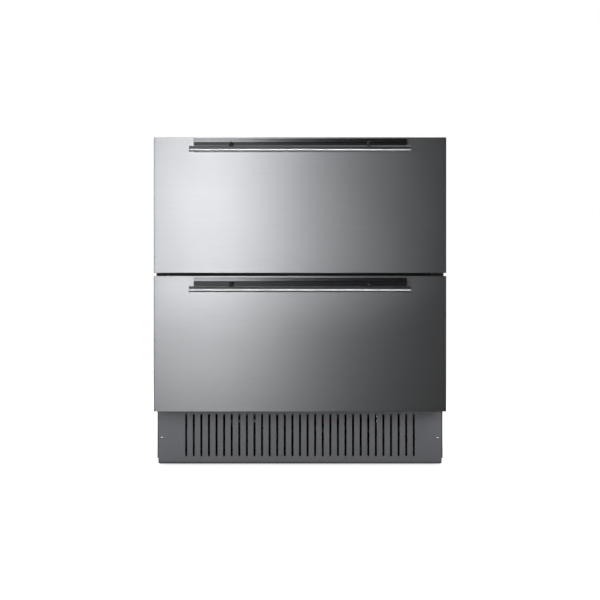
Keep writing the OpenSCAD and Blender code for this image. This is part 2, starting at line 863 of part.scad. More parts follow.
side_panel(LEFT);  // side_panel_left
side_panel(RIGHT);  // side_panel_right
top_panel();
back_panel();
rear_cover();
base_pan();
deck_panel();
insulation();
inner_liner();
mullion_cover();
counter_brackets();
kick_grille();
panel_screws();
cord_gland();
compressor();
compressor_mounts();
condenser();
fan_shroud();
condenser_fan();
fan_motors();
refrigerant_lines();
drip_tray();
control_box();
evaporator();
evaporator_cover();
evaporator_fan();
control_panel();
push_button(0);  // power_button
push_button(1);  // warmer_button
push_button(2);  // colder_button
light_bar();
light_lens();
levelling_foot(LEFT, foot_y[0]);  // front_left_foot
levelling_foot(RIGHT, foot_y[0]);  // front_right_foot
levelling_foot(LEFT, foot_y[1]);  // rear_left_foot
levelling_foot(RIGHT, foot_y[1]);  // rear_right_foot
slide_outer(UPPER);  // upper_slide_outer
slide_middle(UPPER);  // upper_slide_middle
slide_inner(UPPER);  // upper_slide_inner
slide_outer(LOWER);  // lower_slide_outer
slide_middle(LOWER);  // lower_slide_middle
slide_inner(LOWER);  // lower_slide_inner
front_skin(UPPER);  // upper_front_skin
front_foam(UPPER);  // upper_front_foam
inner_panel(UPPER);  // upper_inner_panel
gasket(UPPER);  // upper_gasket
handle_rail(UPPER);  // upper_handle_rail
handle_bar(UPPER);  // upper_handle_bar
handle_posts(UPPER);  // upper_handle_posts
carriers(UPPER);  // upper_carriers
bin(UPPER);  // upper_bin
front_skin(LOWER);  // lower_front_skin
front_foam(LOWER);  // lower_front_foam
inner_panel(LOWER);  // lower_inner_panel
gasket(LOWER);  // lower_gasket
handle_rail(LOWER);  // lower_handle_rail
handle_bar(LOWER);  // lower_handle_bar
handle_posts(LOWER);  // lower_handle_posts
carriers(LOWER);  // lower_carriers
bin(LOWER);  // lower_bin
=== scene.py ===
import json
from contextlib import contextmanager
from math import cos, degrees, pi, radians, sin, sqrt, tan

import bmesh
import bpy
from mathutils import Matrix, Vector


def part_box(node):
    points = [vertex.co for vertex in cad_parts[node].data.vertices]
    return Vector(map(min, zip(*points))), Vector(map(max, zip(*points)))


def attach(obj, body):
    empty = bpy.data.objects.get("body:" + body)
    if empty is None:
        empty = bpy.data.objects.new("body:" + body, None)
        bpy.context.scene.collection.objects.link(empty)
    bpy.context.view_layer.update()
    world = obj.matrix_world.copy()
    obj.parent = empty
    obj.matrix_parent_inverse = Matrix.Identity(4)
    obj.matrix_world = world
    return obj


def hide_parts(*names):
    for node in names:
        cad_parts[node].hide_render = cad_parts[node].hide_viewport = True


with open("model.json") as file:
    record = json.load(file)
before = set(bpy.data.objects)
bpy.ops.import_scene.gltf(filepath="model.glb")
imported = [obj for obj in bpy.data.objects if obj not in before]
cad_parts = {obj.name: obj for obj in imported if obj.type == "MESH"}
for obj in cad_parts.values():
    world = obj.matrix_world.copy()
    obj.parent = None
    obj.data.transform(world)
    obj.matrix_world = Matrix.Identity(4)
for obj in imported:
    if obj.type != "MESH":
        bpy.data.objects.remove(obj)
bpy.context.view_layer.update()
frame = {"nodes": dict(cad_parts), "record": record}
nodes = frame["nodes"]
home = {n: b for b, members in frame["record"]["behaviour"]["bodies"].items() for n in members}
scene = bpy.context.scene

# ---- Meshes, in millimetres, with y counted back from the face of the fronts ----

MM = 0.001
WELD = 1e-5               # metres; vertices closer than this are one
FLAT = radians(0.4)       # faces that turn by less are one face
SHARP = radians(32)       # without a bevel, an edge that turns by more stays sharp
BEVELLED = radians(35)    # with a bevel, an edge that turns by more is rounded
TIP = 0.1                 # radius at which a turned solid closes on its axis
RIGHT, LEFT, FORWARD, BACK, UP = (1, 0, 0), (-1, 0, 0), (0, -1, 0), (0, 1, 0), (0, 0, 1)
FRONT_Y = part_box("upper_front_skin")[0].y


def placed(x, y, z):
    """A place in millimetres as a place in the frame."""
    return Vector((x * MM, FRONT_Y + y * MM, z * MM))


def box(node):
    """A node's lowest and highest corners in millimetres."""
    return tuple(Vector((v.x / MM, (v.y - FRONT_Y) / MM, v.z / MM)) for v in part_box(node))


def new_piece(name, mesh):
    mesh.name = name
    piece = bpy.data.objects.new(name, mesh)
    scene.collection.objects.link(piece)
    return piece


@contextmanager
def opened(mesh):
    """The mesh opened for editing, and written back."""
    bm = bmesh.new()
    bm.from_mesh(mesh)
    yield bm
    bm.to_mesh(mesh)
    bm.free()


def mesh_from(points, faces):
    """A closed mesh whose faces all point outwards."""
    mesh = bpy.data.meshes.new("mesh")
    mesh.from_pydata([placed(*p) for p in points], [], faces)
    with opened(mesh) as bm:
        bmesh.ops.remove_doubles(bm, verts=bm.verts, dist=WELD / 10)
        bmesh.ops.recalc_face_normals(bm, faces=bm.faces)
    return mesh


def joined(meshes):
    """One mesh out of several."""
    whole = bpy.data.meshes.new("joined")
    with opened(whole) as bm:
        for mesh in meshes:
            bm.from_mesh(mesh)
    return whole


def made_plain(piece):
    """The piece with its modifiers applied."""
    graph = bpy.context.evaluated_depsgraph_get()
    mesh = bpy.data.meshes.new_from_object(piece.evaluated_get(graph))
    piece.modifiers.clear()
    piece.data = mesh
    return piece


def bare(piece):
    """The mesh of a piece that only served to make it."""
    mesh = piece.data
    mesh.materials.clear()
    bpy.data.objects.remove(piece)
    return mesh


def eased(piece, edge, segments):
    """Rounds every sharp edge by a radius in millimetres; at 0 the sharp edges stay sharp."""
    piece.data.shade_smooth()
    if edge:
        bevel = piece.modifiers.new("edge", "BEVEL")
        bevel.width = edge * MM
        bevel.segments = segments
        bevel.limit_method = "ANGLE"
        bevel.angle_limit = BEVELLED
        bevel.use_clamp_overlap = True
        bevel.miter_outer = "MITER_ARC"
        piece.modifiers.new("weights", "WEIGHTED_NORMAL").keep_sharp = True
    else:
        piece.data.set_sharp_from_angle(angle=SHARP)
    return made_plain(piece)


def cut(piece, *tools):
    """Takes meshes away from a piece."""
    cutter = new_piece("cutter", joined(tools))
    modifier = piece.modifiers.new("cut", "BOOLEAN")
    modifier.operation = "DIFFERENCE"
    modifier.solver = "EXACT"
    modifier.object = cutter
    made_plain(piece)
    bpy.data.objects.remove(cutter)
    return piece


def build(name, finish, meshes, node=None, body="cabinet", edge=0.0, segments=2, cuts=()):
    """A piece out of closed meshes, less the cuts, that stands for a CAD node and moves as it does."""
    piece = new_piece(name, joined(meshes))
    if cuts:
        cut(piece, *cuts)
    eased(piece, edge, segments)
    piece.data.materials.append(finish.material)
    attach(piece, home[node] if node else body)
    if node:
        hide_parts(node)


def cad_mesh(node):
    """A welded copy of a node's mesh, its flat faces made whole."""
    mesh = nodes[node].data.copy()
    mesh.materials.clear()
    with opened(mesh) as bm:
        bmesh.ops.remove_doubles(bm, verts=bm.verts, dist=WELD)
        bmesh.ops.dissolve_limit(
            bm, angle_limit=FLAT, verts=bm.verts, edges=bm.edges, use_dissolve_boundaries=False)
    if mesh.has_custom_normals:
        mesh.attributes.remove(mesh.attributes["custom_normal"])
    return mesh


def softened(node, finish, edge, segments=2):
    """The node's own shape with its edges rounded as folded, moulded or cut edges are."""
    build(node + "_shell", finish, [cad_mesh(node)], node, edge=edge, segments=segments)


def dressed(node, finish):
    """Leaves a CAD node as it is and gives it a finish."""
    nodes[node].data.materials.clear()
    nodes[node].data.materials.append(finish.material)


def loft(rings, closed=False):
    """Skins rings of equally many points, one after the other."""
    count = len(rings[0])
    points = [p for ring in rings for p in ring]
    faces = []
    for r in range(len(rings) if closed else len(rings) - 1):
        a, b = r * count, (r + 1) % len(rings) * count
        faces += [[a + i, a + (i + 1) % count, b + (i + 1) % count, b + i] for i in range(count)]
    if not closed:
        faces += [list(range(count)), list(range(len(points) - count, len(points)))]
    return mesh_from(points, faces)


def prism(outline, x0, x1):
    """Extrudes an outline of (y, z) points from x0 to x1."""
    return loft([[(x, y, z) for y, z in outline] for x in (x0, x1)])


def slab(outline, y0, y1):
    """Extrudes an outline of (x, z) points from y0 to y1."""
    return loft([[(x, y, z) for x, z in outline] for y in (y0, y1)])


def plan(outline, z0, z1):
    """Extrudes an outline of (x, y) points from z0 to z1."""
    return loft([[(x, y, z) for x, y in outline] for z in (z0, z1)])


def block(x0, x1, y0, y1, z0, z1):
    return prism([(y0, z0), (y1, z0), (y1, z1), (y0, z1)], x0, x1)


def spun(profile, steps, at, aim):
    """(radius, height) points at each step round an axis through at, along aim."""
    turn = Vector(UP).rotation_difference(Vector(aim)).to_matrix()
    return [[turn @ Vector((r * cos(a), r * sin(a), h)) + Vector(at) for r, h in profile]
            for a in (2 * pi * k / steps for k in range(steps))]


def turned(profile, steps, at, aim=UP):
    """Revolves a profile that starts and ends on the axis into a solid."""
    return loft(list(zip(*spun(profile, steps, at, aim))))


def revolved(profile, steps, at, aim):
    """Revolves a closed outline into a ring."""
    return loft(spun(profile, steps, at, aim), closed=True)


def plug(profile, steps, at, aim=UP):
    """Revolves an open profile and closes both its ends."""
    return turned([(0.01, profile[0][1]), *profile, (0.01, profile[-1][1])], steps, at, aim)


def mirrored(mesh):
    """The same shape on the other side of the middle."""
    other = mesh.copy()
    other.transform(Matrix.Scale(-1, 4, RIGHT))
    other.flip_normals()
    return other


def arc(centre, radius, start, end, steps):
    """Points on an arc, with its angles in degrees."""
    angles = [radians(start + (end - start) * k / steps) for k in range(steps + 1)]
    return [(centre[0] + radius * cos(a), centre[1] + radius * sin(a)) for a in angles]


def quarter():
    """Shares of a bend's radius, inwards and along, in six steps from its start."""
    return [(1 - sin(a), 1 - cos(a)) for a in (radians(18 * k) for k in range(6))]


def round_rect(x0, x1, z0, z1, radius, steps=5):
    """Outline of a rectangle with round corners, anticlockwise, with the outward normals."""
    out = []
    centres = [(x1 - radius, z0 + radius, -90), (x1 - radius, z1 - radius, 0),
               (x0 + radius, z1 - radius, 90), (x0 + radius, z0 + radius, 180)]
    for cx, cz, start in centres:
        for k in range(steps + 1):
            a = radians(start + 90 * k / steps)
            out.append(((cx + radius * cos(a), cz + radius * sin(a)), (cos(a), sin(a))))
    return out


def corners(x0, x1, z0, z1, radius, steps=5):
    return [point for point, normal in round_rect(x0, x1, z0, z1, radius, steps)]


def upright_ring(half_x, z0, z1, radius, profile):
    """Sweeps a closed (outward, y) profile round an upright rectangle."""
    return loft([[(x + nx * out, y, z + nz * out) for out, y in profile]
                 for (x, z), (nx, nz) in round_rect(-half_x, half_x, z0, z1, radius)], closed=True)


def filleted(points, radius, steps):
    """A path whose bends are rounded."""
    points = [Vector(p) for p in points]
    path = [points[0]]
    for before, here, after in zip(points, points[1:], points[2:]):
        a, b = (before - here).normalized(), (after - here).normalized()
        half = a.angle(b) / 2
        reach = min(radius / tan(half), (before - here).length * 0.49, (after - here).length * 0.49)
        centre = here + (a + b).normalized() * (reach / cos(half))
        start, end = here + a * reach - centre, here + b * reach - centre
        path += [centre + start.slerp(end, k / steps) for k in range(steps + 1)]
    return path + [points[-1]]


def along(path, i):
    """The direction of a path at its point of that number."""
    return (path[min(i + 1, len(path) - 1)] - path[max(i - 1, 0)]).normalized()


def folded(path, thickness, y0, y1, side):
    """Sheet folded along a path of (x, z) points, from y0 to y1; side is 1 or -1, right or left."""
    bend = 1.6
    bent = [Vector((p.x, p.z)) for p in filleted([(x * side, 0, z) for x, z in path], bend, 5)]
    left, right = [], []
    for i, p in enumerate(bent):
        ahead = along(bent, i)
        out = Vector((-ahead.y, ahead.x)) * thickness / 2
        left.append(p + out)
        right.append(p - out)
    return slab([tuple(p) for p in left + right[::-1]], y0, y1)


def tube(path, radius, steps):
    """A round tube along a path."""
    path = [Vector(p) for p in path]
    rings, side = [], along(path, 0).orthogonal().normalized()
    for i, p in enumerate(path):
        ahead = along(path, i)
        side = (side - ahead * side.dot(ahead)).normalized()
        up = ahead.cross(side)
        rings.append([p + (side * cos(a) + up * sin(a)) * radius
                      for a in (2 * pi * k / steps for k in range(steps))])
    return loft(rings)


# ---- Node trees ----


class Nodes:
    """A node tree that is made a node at a time."""

    def __init__(self, tree):
        self.tree = tree

    def add(self, kind, sockets=None, **settings):
        """Adds a node, sets or links its sockets, and returns its outputs."""
        node = self.tree.nodes.new(kind)
        for key, value in settings.items():
            setattr(node, key, value)
        for key, value in (sockets or {}).items():
            if isinstance(value, bpy.types.NodeSocket):
                self.tree.links.new(value, node.inputs[key])
            else:
                node.inputs[key].default_value = value
        return node.outputs

    def maths(self, operation, a, b=0.0):
        return self.add("ShaderNodeMath", {0: a, 1: b}, operation=operation)[0]

    def ranged(self, value, low, high, start=0.0, end=1.0, **settings):
        return self.add("ShaderNodeMapRange", {
            "Value": value, "From Min": start, "From Max": end, "To Min": low, "To Max": high}, **settings)[0]

    def rays(self, first, *others):
        """1 for rays of any of the named kinds."""
        path = self.add("ShaderNodeLightPath")
        total = path[first]
        for kind in others:
            total = self.maths("MAXIMUM", total, path[kind])
        return total

    def link(self, output, node, socket):
        self.tree.links.new(output, self.tree.nodes[node].inputs[socket])


class Tree(Nodes):
    """A Geometry Nodes tree with named inputs."""

    def __init__(self, name, **inputs):
        super().__init__(bpy.data.node_groups.new(name, "GeometryNodeTree"))
        face = self.tree.interface
        for label, kind in {"Geometry": "Geometry", **inputs, "Material": "Material"}.items():
            face.new_socket(label.replace("_", " "), in_out="INPUT", socket_type="NodeSocket" + kind)
        face.new_socket("Geometry", in_out="OUTPUT", socket_type="NodeSocketGeometry")
        self.inputs = self.tree.nodes.new("NodeGroupInput").outputs

    def vector(self, x=0.0, y=0.0, z=0.0):
        return self.add("ShaderNodeCombineXYZ", {0: x, 1: y, 2: z})[0]

    def moved(self, geometry, by=(0, 0, 0), turned_by=(0, 0, 0), scaled=(1, 1, 1)):
        return self.add("GeometryNodeTransform", {
            "Geometry": geometry, "Translation": by, "Rotation": turned_by, "Scale": scaled})[0]

    def line(self, count, start=(0, 0, 0), offset=(0, 0, 0)):
        return self.add("GeometryNodeMeshLine", {
            "Count": count, "Start Location": start, "Offset": offset})[0]

    def on_points(self, points, instance, **sockets):
        return self.add("GeometryNodeInstanceOnPoints", {
            "Points": points, "Instance": instance, **sockets})[0]

    def together(self, *parts):
        node = self.tree.nodes.new("GeometryNodeJoinGeometry")
        for part in parts:
            self.tree.links.new(part, node.inputs[0])
        return node.outputs[0]

    def finish(self, geometry):
        real = self.add("GeometryNodeRealizeInstances", {"Geometry": geometry})[0]
        made = self.add("GeometryNodeSetMaterial", {
            "Geometry": real, "Material": self.inputs["Material"]})[0]
        self.tree.links.new(made, self.tree.nodes.new("NodeGroupOutput").inputs[0])
        return self

    def grow(self, finish, mesh=None, **values):
        """Runs the tree and returns its result as a plain mesh."""
        piece = new_piece("grown", mesh or bpy.data.meshes.new("grown"))
        modifier = piece.modifiers.new("grow", "NODES")
        modifier.node_group = self.tree
        values["Material"] = finish.material
        for item in self.tree.interface.items_tree:
            label = item.name.replace(" ", "_")
            if item.in_out == "INPUT" and label in values:
                modifier[item.identifier] = values[label]
        return bare(made_plain(piece))


def linear(red, green, blue):
    """A screen colour of 0 to 255 as the shader's linear colour."""
    def one(c):
        return c / 12.92 if c <= 0.04045 else ((c + 0.055) / 1.055) ** 2.4
    return (*(one(c / 255) for c in (red, green, blue)), 1.0)


class Finish(Nodes):
    """A procedural finish for one material slot, with its patterns in object coordinates."""

    def __init__(self, name, slot, colour, metallic, roughness, **constants):
        self.slot = slot
        self.colour = linear(*colour)
        self.material = bpy.data.materials.new(name)
        self.material.use_nodes = True
        super().__init__(self.material.node_tree)
        self.shader = self.tree.nodes["Principled BSDF"]
        constants.update({"Base Color": self.colour, "Metallic": metallic, "Roughness": roughness})
        for socket, value in constants.items():
            self.shader.inputs[socket.replace("_", " ")].default_value = value
        self.place = self.add("ShaderNodeTexCoord")["Object"]

    def spread(self, size):
        """Object coordinates in units of a pattern's size in metres, one number or three."""
        sizes = size if isinstance(size, tuple) else (size,) * 3
        return self.add("ShaderNodeMapping", {
            "Vector": self.place, "Scale": tuple(1 / s for s in sizes)})[0]

    def noise(self, size, detail=3.0, roughness=0.5):
        return self.add("ShaderNodeTexNoise", {
            "Vector": self.spread(size), "Scale": 1.0, "Detail": detail, "Roughness": roughness})[0]

    def cells(self, size, feature="F1", output="Distance"):
        return self.add("ShaderNodeTexVoronoi", {
            "Vector": self.spread(size), "Scale": 1.0}, feature=feature)[output]

    def mixed(self, a, b, share):
        """The two values added up, the first with its share and the other with the rest."""
        return self.maths("ADD", self.maths("MULTIPLY", a, share),
                          self.maths("MULTIPLY", b, round(1 - share, 2)))

    def tinted(self, value, dark, light):
        """Varies the base colour between two shares of it."""
        ends = {6: dark, 7: light}
        made = self.add("ShaderNodeMix", {0: value, **{
            socket: tuple(min(c * share, 1.0) for c in self.colour[:3]) + (1.0,)
            for socket, share in ends.items()}}, data_type="RGBA")[2]
        self.link(made, self.shader.name, "Base Color")
        return self

    def rough(self, value, low, high):
        self.link(self.ranged(value, low, high), self.shader.name, "Roughness")
        return self

    def bumped(self, value, depth, strength=1.0):
        """Adds relief of the given depth in metres over what is there already."""
        normal = self.shader.inputs["Normal"]
        sockets = {"Height": value, "Distance": depth, "Strength": strength}
        if normal.is_linked:
            sockets["Normal"] = normal.links[0].from_socket
        self.link(self.add("ShaderNodeBump", sockets)[0], self.shader.name, "Normal")
        return self


# ---- Finishes ----


def brushed(name, slot, colour, roughness, grain=(0.06, 0.0009, 0.0009), depth=0.000012, vary=0.065,
            **constants):
    """Brushed steel: fine streaks along the grain, with a faint slow waviness and hand marks."""
    steel = Finish(name, slot, colour, 1.0, roughness, **constants)
    streaks = steel.noise(grain, 2.0)
    broad = steel.noise(tuple(3.5 * g for g in grain), 1.0)
    marks = steel.noise(0.11, 3.0, 0.6)
    both = steel.mixed(streaks, broad, 0.6)
    steel.tinted(both, 0.9, 1.09)
    steel.rough(steel.mixed(both, marks, 0.55), roughness - vary, roughness + vary)
    return steel.bumped(streaks, depth, 0.6)


def painted(name, slot, colour, roughness, peel=0.0016, depth=0.00003, metallic=0.0, **constants):
    """Sprayed paint: fine orange peel and slow changes of gloss."""
    paint = Finish(name, slot, colour, metallic, roughness, **constants)
    skin = paint.noise(peel, 2.0)
    cloud = paint.noise(0.09)
    paint.tinted(cloud, 0.93, 1.06)
    paint.rough(paint.mixed(skin, cloud, 0.4), roughness - 0.07, roughness + 0.08)
    return paint.bumped(skin, depth, 0.7)


def moulded(name, slot, colour, roughness, grain=0.0011, depth=0.00004, **constants):
    """Moulded plastic: fine grain from the tool, with slight clouding."""
    plastic = Finish(name, slot, colour, 0.0, roughness, **constants)
    pits = plastic.cells(grain, feature="SMOOTH_F1")
    cloud = plastic.noise(0.07)
    plastic.tinted(cloud, 0.95, 1.04).rough(cloud, roughness - 0.06, roughness + 0.07)
    return plastic.bumped(pits, depth, 0.6)


def rubber(name, slot, colour, roughness, tints, clouds, gloss, pores):
    """Rubber: dusty clouds, changes of gloss and fine pores, each with its size and range."""
    soft = Finish(name, slot, colour, 0.0, roughness)
    soft.tinted(soft.noise(clouds, 4.0), *tints)
    return soft.rough(soft.noise(gloss[0]), *gloss[1:]).bumped(soft.noise(pores, 2.0), 0.00003)


front_steel = brushed("front_brushed_steel", "front_steel", (190, 192, 195), 0.44,
                      Anisotropic=0.45, Anisotropic_Rotation=0.25)
# The fronts' rolled edges are polished: their gloss rises over the last millimetres of the width
ROLLED, POLISHED = 0.3745, 0.3765      # metres from the middle
across = front_steel.add("ShaderNodeSeparateXYZ", {"Vector": front_steel.place})[0]
polish = front_steel.ranged(front_steel.maths("ABSOLUTE", across), 1.0, 0.35, ROLLED, POLISHED)
ground = front_steel.shader.inputs["Roughness"].links[0].from_socket
front_steel.link(front_steel.maths("MULTIPLY", ground, polish), front_steel.shader.name, "Roughness")
bar_steel = brushed("bar_brushed_steel", "bar_steel", (188, 190, 192), 0.33,
                    grain=(0.05, 0.0012, 0.0012), depth=0.000003, vary=0.012)
rail_steel = brushed("rail_lip_steel", "handle_black", (108, 109, 112), 0.25)
# Dark finish of the rails' channels and of the posts: painted shade, standing for the dark band that the
# bars' reflection and shadow make on the steel above them.
handle_black = painted("rail_black_anodised", "handle_black", (46, 46, 49), 0.32, peel=0.0009,
                       depth=0.00001, metallic=0.6)
cabinet_steel = painted("cabinet_dark_paint", "cabinet_steel", (54, 54, 56), 0.5,
                        Specular_IOR_Level=0.4)
grille_steel = painted("grille_grey_paint", "grille_steel", (106, 107, 111), 0.42, metallic=0.35)
zinc_steel = Finish("zinc_coated_steel", "zinc_steel", (176, 179, 181), 1.0, 0.42)
SPANGLE = 0.007           # metres across one crystal of the zinc
spangle = zinc_steel.cells(SPANGLE, output="Color")
flake = zinc_steel.add("ShaderNodeSeparateColor", {"Color": spangle})[0]
zinc_steel.tinted(flake, 0.93, 1.05).rough(flake, 0.38, 0.5)
zinc_steel.bumped(zinc_steel.cells(SPANGLE), 0.00002, 0.3)
liner_white = moulded("liner_white_plastic", "liner_white", (232, 234, 235), 0.33, depth=0.00002)
bin_clear = moulded("bin_frosted_plastic", "bin_clear", (226, 232, 236), 0.22, depth=0.00001,
                    Transmission_Weight=0.55, IOR=1.49)
foam = Finish("wall_foam", "foam", (226, 208, 150), 0.0, 0.9)
foam.tinted(foam.cells(0.0022), 0.72, 1.08).bumped(foam.cells(0.0022), 0.0004)
seal_rubber = rubber("gasket_rubber", "seal_rubber", (118, 119, 121), 0.6, (0.86, 1.08), 0.05,
                     (0.02, 0.52, 0.72), 0.0006)
black_plastic = moulded("black_moulded_plastic", "black_plastic", (38, 38, 39), 0.5)
compressor_black = painted("compressor_black_paint", "compressor_black", (32, 32, 34), 0.36)
rubber_black = rubber("black_rubber", "rubber_black", (34, 34, 34), 0.68, (0.8, 1.3), 0.03,
                      (0.012, 0.58, 0.8), 0.0005)
copper = Finish("drawn_copper", "copper", (176, 108, 76), 1.0, 0.36)
copper.tinted(copper.noise(0.025, 5.0, 0.65), 0.62, 1.1).rough(copper.noise(0.012, 4.0), 0.22, 0.46)
copper.bumped(copper.noise((0.002, 0.0004, 0.002), 2.0), 0.00001)
coil_aluminium = brushed("coil_aluminium", "coil_aluminium", (206, 208, 210), 0.36,
                         grain=(0.0008, 0.0008, 0.03))
coil_black = painted("coil_black_paint", "coil_aluminium", (44, 45, 47), 0.5, metallic=0.5)
lens = moulded("diffuser_lens", "lens", (236, 242, 247), 0.38, grain=0.003, depth=0.0001,
               Transmission_Weight=0.4, IOR=1.49)
button_grey = moulded("button_grey_plastic", "button_grey", (176, 178, 181), 0.38, grain=0.0005)
screw_steel = brushed("screw_bright_steel", "screw_steel", (222, 223, 225), 0.24,
                      grain=(0.0015, 0.0004, 0.0004))
fan_white = moulded("fan_white_plastic", "fan_white", (222, 222, 220), 0.42)
foot_steel = painted("foot_black_coating", "foot_steel", (52, 52, 54), 0.4)
display_glass = Finish("display_dark_glass", "black_plastic", (16, 17, 20), 0.0, 0.06,
                       Coat_Weight=0.6, Coat_Roughness=0.03)
display_glass.rough(display_glass.noise(0.02, 4.0), 0.04, 0.12)

# ---- Camera, light and floor ----

WHITE = (1, 1, 1, 1)
STUDIO_DIM = 0.015        # what metal sees of the studio ahead of the fronts
SOFT_LIGHT = 0.55         # the world's light on the object
MIRRORED = ("Is Glossy Ray", "Is Transmission Ray")
camera_data = bpy.data.cameras.new("camera")
camera_data.lens = 81.36
camera_data.sensor_width = 36
camera_data.clip_end = 50
camera = bpy.data.objects.new("camera", camera_data)
camera.location = (0, FRONT_Y - 3.5, 0.435)
camera.rotation_euler = (radians(90), 0, 0)
scene.collection.objects.link(camera)
scene.camera = camera
scene.view_settings.view_transform = "Standard"


def area_lamp(name, place, target, size, power, seen=True, lights=True, spread=180):
    """A soft lamp that the camera doesn't see, placed and aimed in metres from the fronts' face."""
    data = bpy.data.lights.new(name, "AREA")
    data.shape = "RECTANGLE"
    data.size, data.size_y = size
    data.energy = power
    data.spread = radians(spread)
    lamp = bpy.data.objects.new(name, data)
    place, target = (Vector((x, FRONT_Y + y, z)) for x, y, z in (place, target))
    lamp.location = place
    lamp.rotation_euler = (target - place).to_track_quat("-Z", "Y").to_euler()
    lamp.visible_camera = False
    lamp.visible_glossy = seen
    lamp.visible_diffuse = lights
    scene.collection.objects.link(lamp)
    return lamp


def studio_world():
    """White where it is seen, and a plain soft light elsewhere; ahead of the fronts it is dim."""
    scene.world = bpy.data.worlds.new("studio")
    scene.world.use_nodes = True
    world = Nodes(scene.world.node_tree)
    light = world.tree.nodes["Background"]
    light.inputs["Color"].default_value = WHITE
    light.inputs["Strength"].default_value = SOFT_LIGHT
    place = world.add("ShaderNodeTexCoord")["Generated"]
    behind = world.add("ShaderNodeVectorMath", {0: place, 1: (-0.6, 1, -0.5)},
                       operation="DOT_PRODUCT")["Value"]
    dim = world.ranged(behind, STUDIO_DIM, 1.0, -0.3, 0.4, interpolation_type="SMOOTHSTEP")
    level = world.maths("MAXIMUM", dim, world.rays("Is Camera Ray"))
    seen = world.add("ShaderNodeBackground", {"Color": WHITE, "Strength": level})[0]
    mix = world.add("ShaderNodeMixShader", {
        0: world.rays("Is Camera Ray", *MIRRORED), 1: light.outputs[0], 2: seen})[0]
    world.link(mix, "World Output", "Surface")


def pale_floor():
    """A floor that reads as white and keeps the object's shadow; metal sees it dim ahead of the fronts."""
    reach = 3e4                   # millimetres from the middle to each edge
    grey = (206.4144,) * 3        # 0.62 as a linear colour
    own_light = 0.7               # lifts it to white in the picture
    floor = new_piece("studio_floor", mesh_from(
        [(-reach, -reach, 0), (reach, -reach, 0), (reach, reach, 0), (-reach, reach, 0)], [[0, 1, 2, 3]]))
    pale = Finish("studio_floor_white", None, grey, 0.0, 0.9, Specular_IOR_Level=0.0)
    lit = pale.shader.outputs[0]
    glow = pale.add("ShaderNodeEmission", {"Strength": own_light})[0]
    shown = pale.add("ShaderNodeAddShader", {0: lit, 1: glow})[0]
    depth = pale.add("ShaderNodeSeparateXYZ", {"Vector": pale.place})["Y"]
    level = pale.ranged(depth, STUDIO_DIM, SOFT_LIGHT, FRONT_Y + 0.06, FRONT_Y + 0.36)
    mirror = pale.add("ShaderNodeEmission", {"Strength": level})[0]
    for kinds, other in ((("Is Camera Ray",), shown), (MIRRORED, mirror)):
        lit = pale.add("ShaderNodeMixShader", {0: pale.rays(*kinds), 1: lit, 2: other})[0]
    pale.link(lit, "Material Output", "Surface")
    floor.data.materials.append(pale.material)


studio_world()
pale_floor()
# Each lamp's place, what it aims at, its size and its power in watts
key_lamp = area_lamp("key", (-0.352, -1.25, 0.8), (-0.2, 0, 0.45), (0.38, 1.2), 5.4)
bar_lamp = area_lamp("bar", (-0.55, -1.25, 1.1), (0, 0, 0.64), (1, 2), 2.0)
kick_lamp = area_lamp("kick", (0, -0.125, 0.2), (0, 0.075, 0.06), (1.4, 0.06), 0.9)
strip_lamp = area_lamp("strip", (-0.05, -0.62, 0.02), (-0.05, 0, 0.66), (1.2, 0.2), 5.2)
area_lamp("low", (-0.12, -1.1, 0.02), (-0.12, 0, 0.75), (0.7, 0.08), 0.2, lights=False, spread=36)
area_lamp("fill", (1.6, -1.8, 1.6), (0, 0, 0.4), (1.2, 1.2), 18, seen=False)
area_lamp("side", (-1.9, -1.5, 0.8), (0, 0, 0.5), (0.9, 1.5), 6, lights=False)
area_lamp("top", (0, 0.2 - FRONT_Y, 2.4), (0, -FRONT_Y, 0.8), (1.6, 1.6), 28, seen=False)
area_lamp("rear", (-1.9, 1.7 - FRONT_Y, 2.1), (0, 0.2 - FRONT_Y, 0.4), (1.2, 1.2), 34)

# ---- Patterns that repeat ----


def plate_tree():
    """A flat plate with rows and columns of slots, standing upright with its face to the front."""
    tree = Tree("slotted_plate", Width="Float", Height="Float", Corner="Float", Thickness="Float",
                Columns="Int", Rows="Int", Column_Pitch="Float", Row_Pitch="Float",
                Slot_Width="Float", Slot_Height="Float", Slot_Corner="Float", Field_Height="Float",
                Place="Vector")
    given = tree.inputs

    def rounded(width, height, corner):
        sheet = tree.add("GeometryNodeCurvePrimitiveQuadrilateral", {"Width": width, "Height": height})[0]
        return tree.add("GeometryNodeFilletCurve", {
            "Curve": sheet, "Count": 4, "Radius": corner, "Limit Radius": True}, mode="POLY")[0]

    def centred(count, pitch):
        return tree.maths("MULTIPLY", tree.maths("MULTIPLY", tree.maths("SUBTRACT", count, 1.0), pitch), -0.5)

    line = tree.line(given["Columns"], tree.vector(centred(given["Columns"], given["Column Pitch"])),
                     tree.vector(given["Column Pitch"]))
    start = tree.maths("ADD", centred(given["Rows"], given["Row Pitch"]), given["Field Height"])
    column = tree.line(given["Rows"], tree.vector(0.0, start), tree.vector(0.0, given["Row Pitch"]))
    slot = rounded(given["Slot Width"], given["Slot Height"], given["Slot Corner"])
    field = tree.on_points(line, tree.on_points(column, slot))
    cuts = tree.add("GeometryNodeRealizeInstances", {"Geometry": field})[0]
    face = tree.add("GeometryNodeFillCurve", {
        "Curve": tree.together(rounded(given["Width"], given["Height"], given["Corner"]), cuts)},
        mode="TRIANGLES")[0]
    walls = tree.add("GeometryNodeExtrudeMesh", {
        "Mesh": face, "Offset Scale": given["Thickness"], "Individual": False})[0]
    closed = tree.together(walls, tree.add("GeometryNodeFlipFaces", {"Mesh": face})[0])
    welded = tree.add("GeometryNodeMergeByDistance", {"Geometry": closed, "Distance": WELD})[0]
    return tree.finish(tree.moved(welded, given["Place"], (radians(90), 0, 0)))


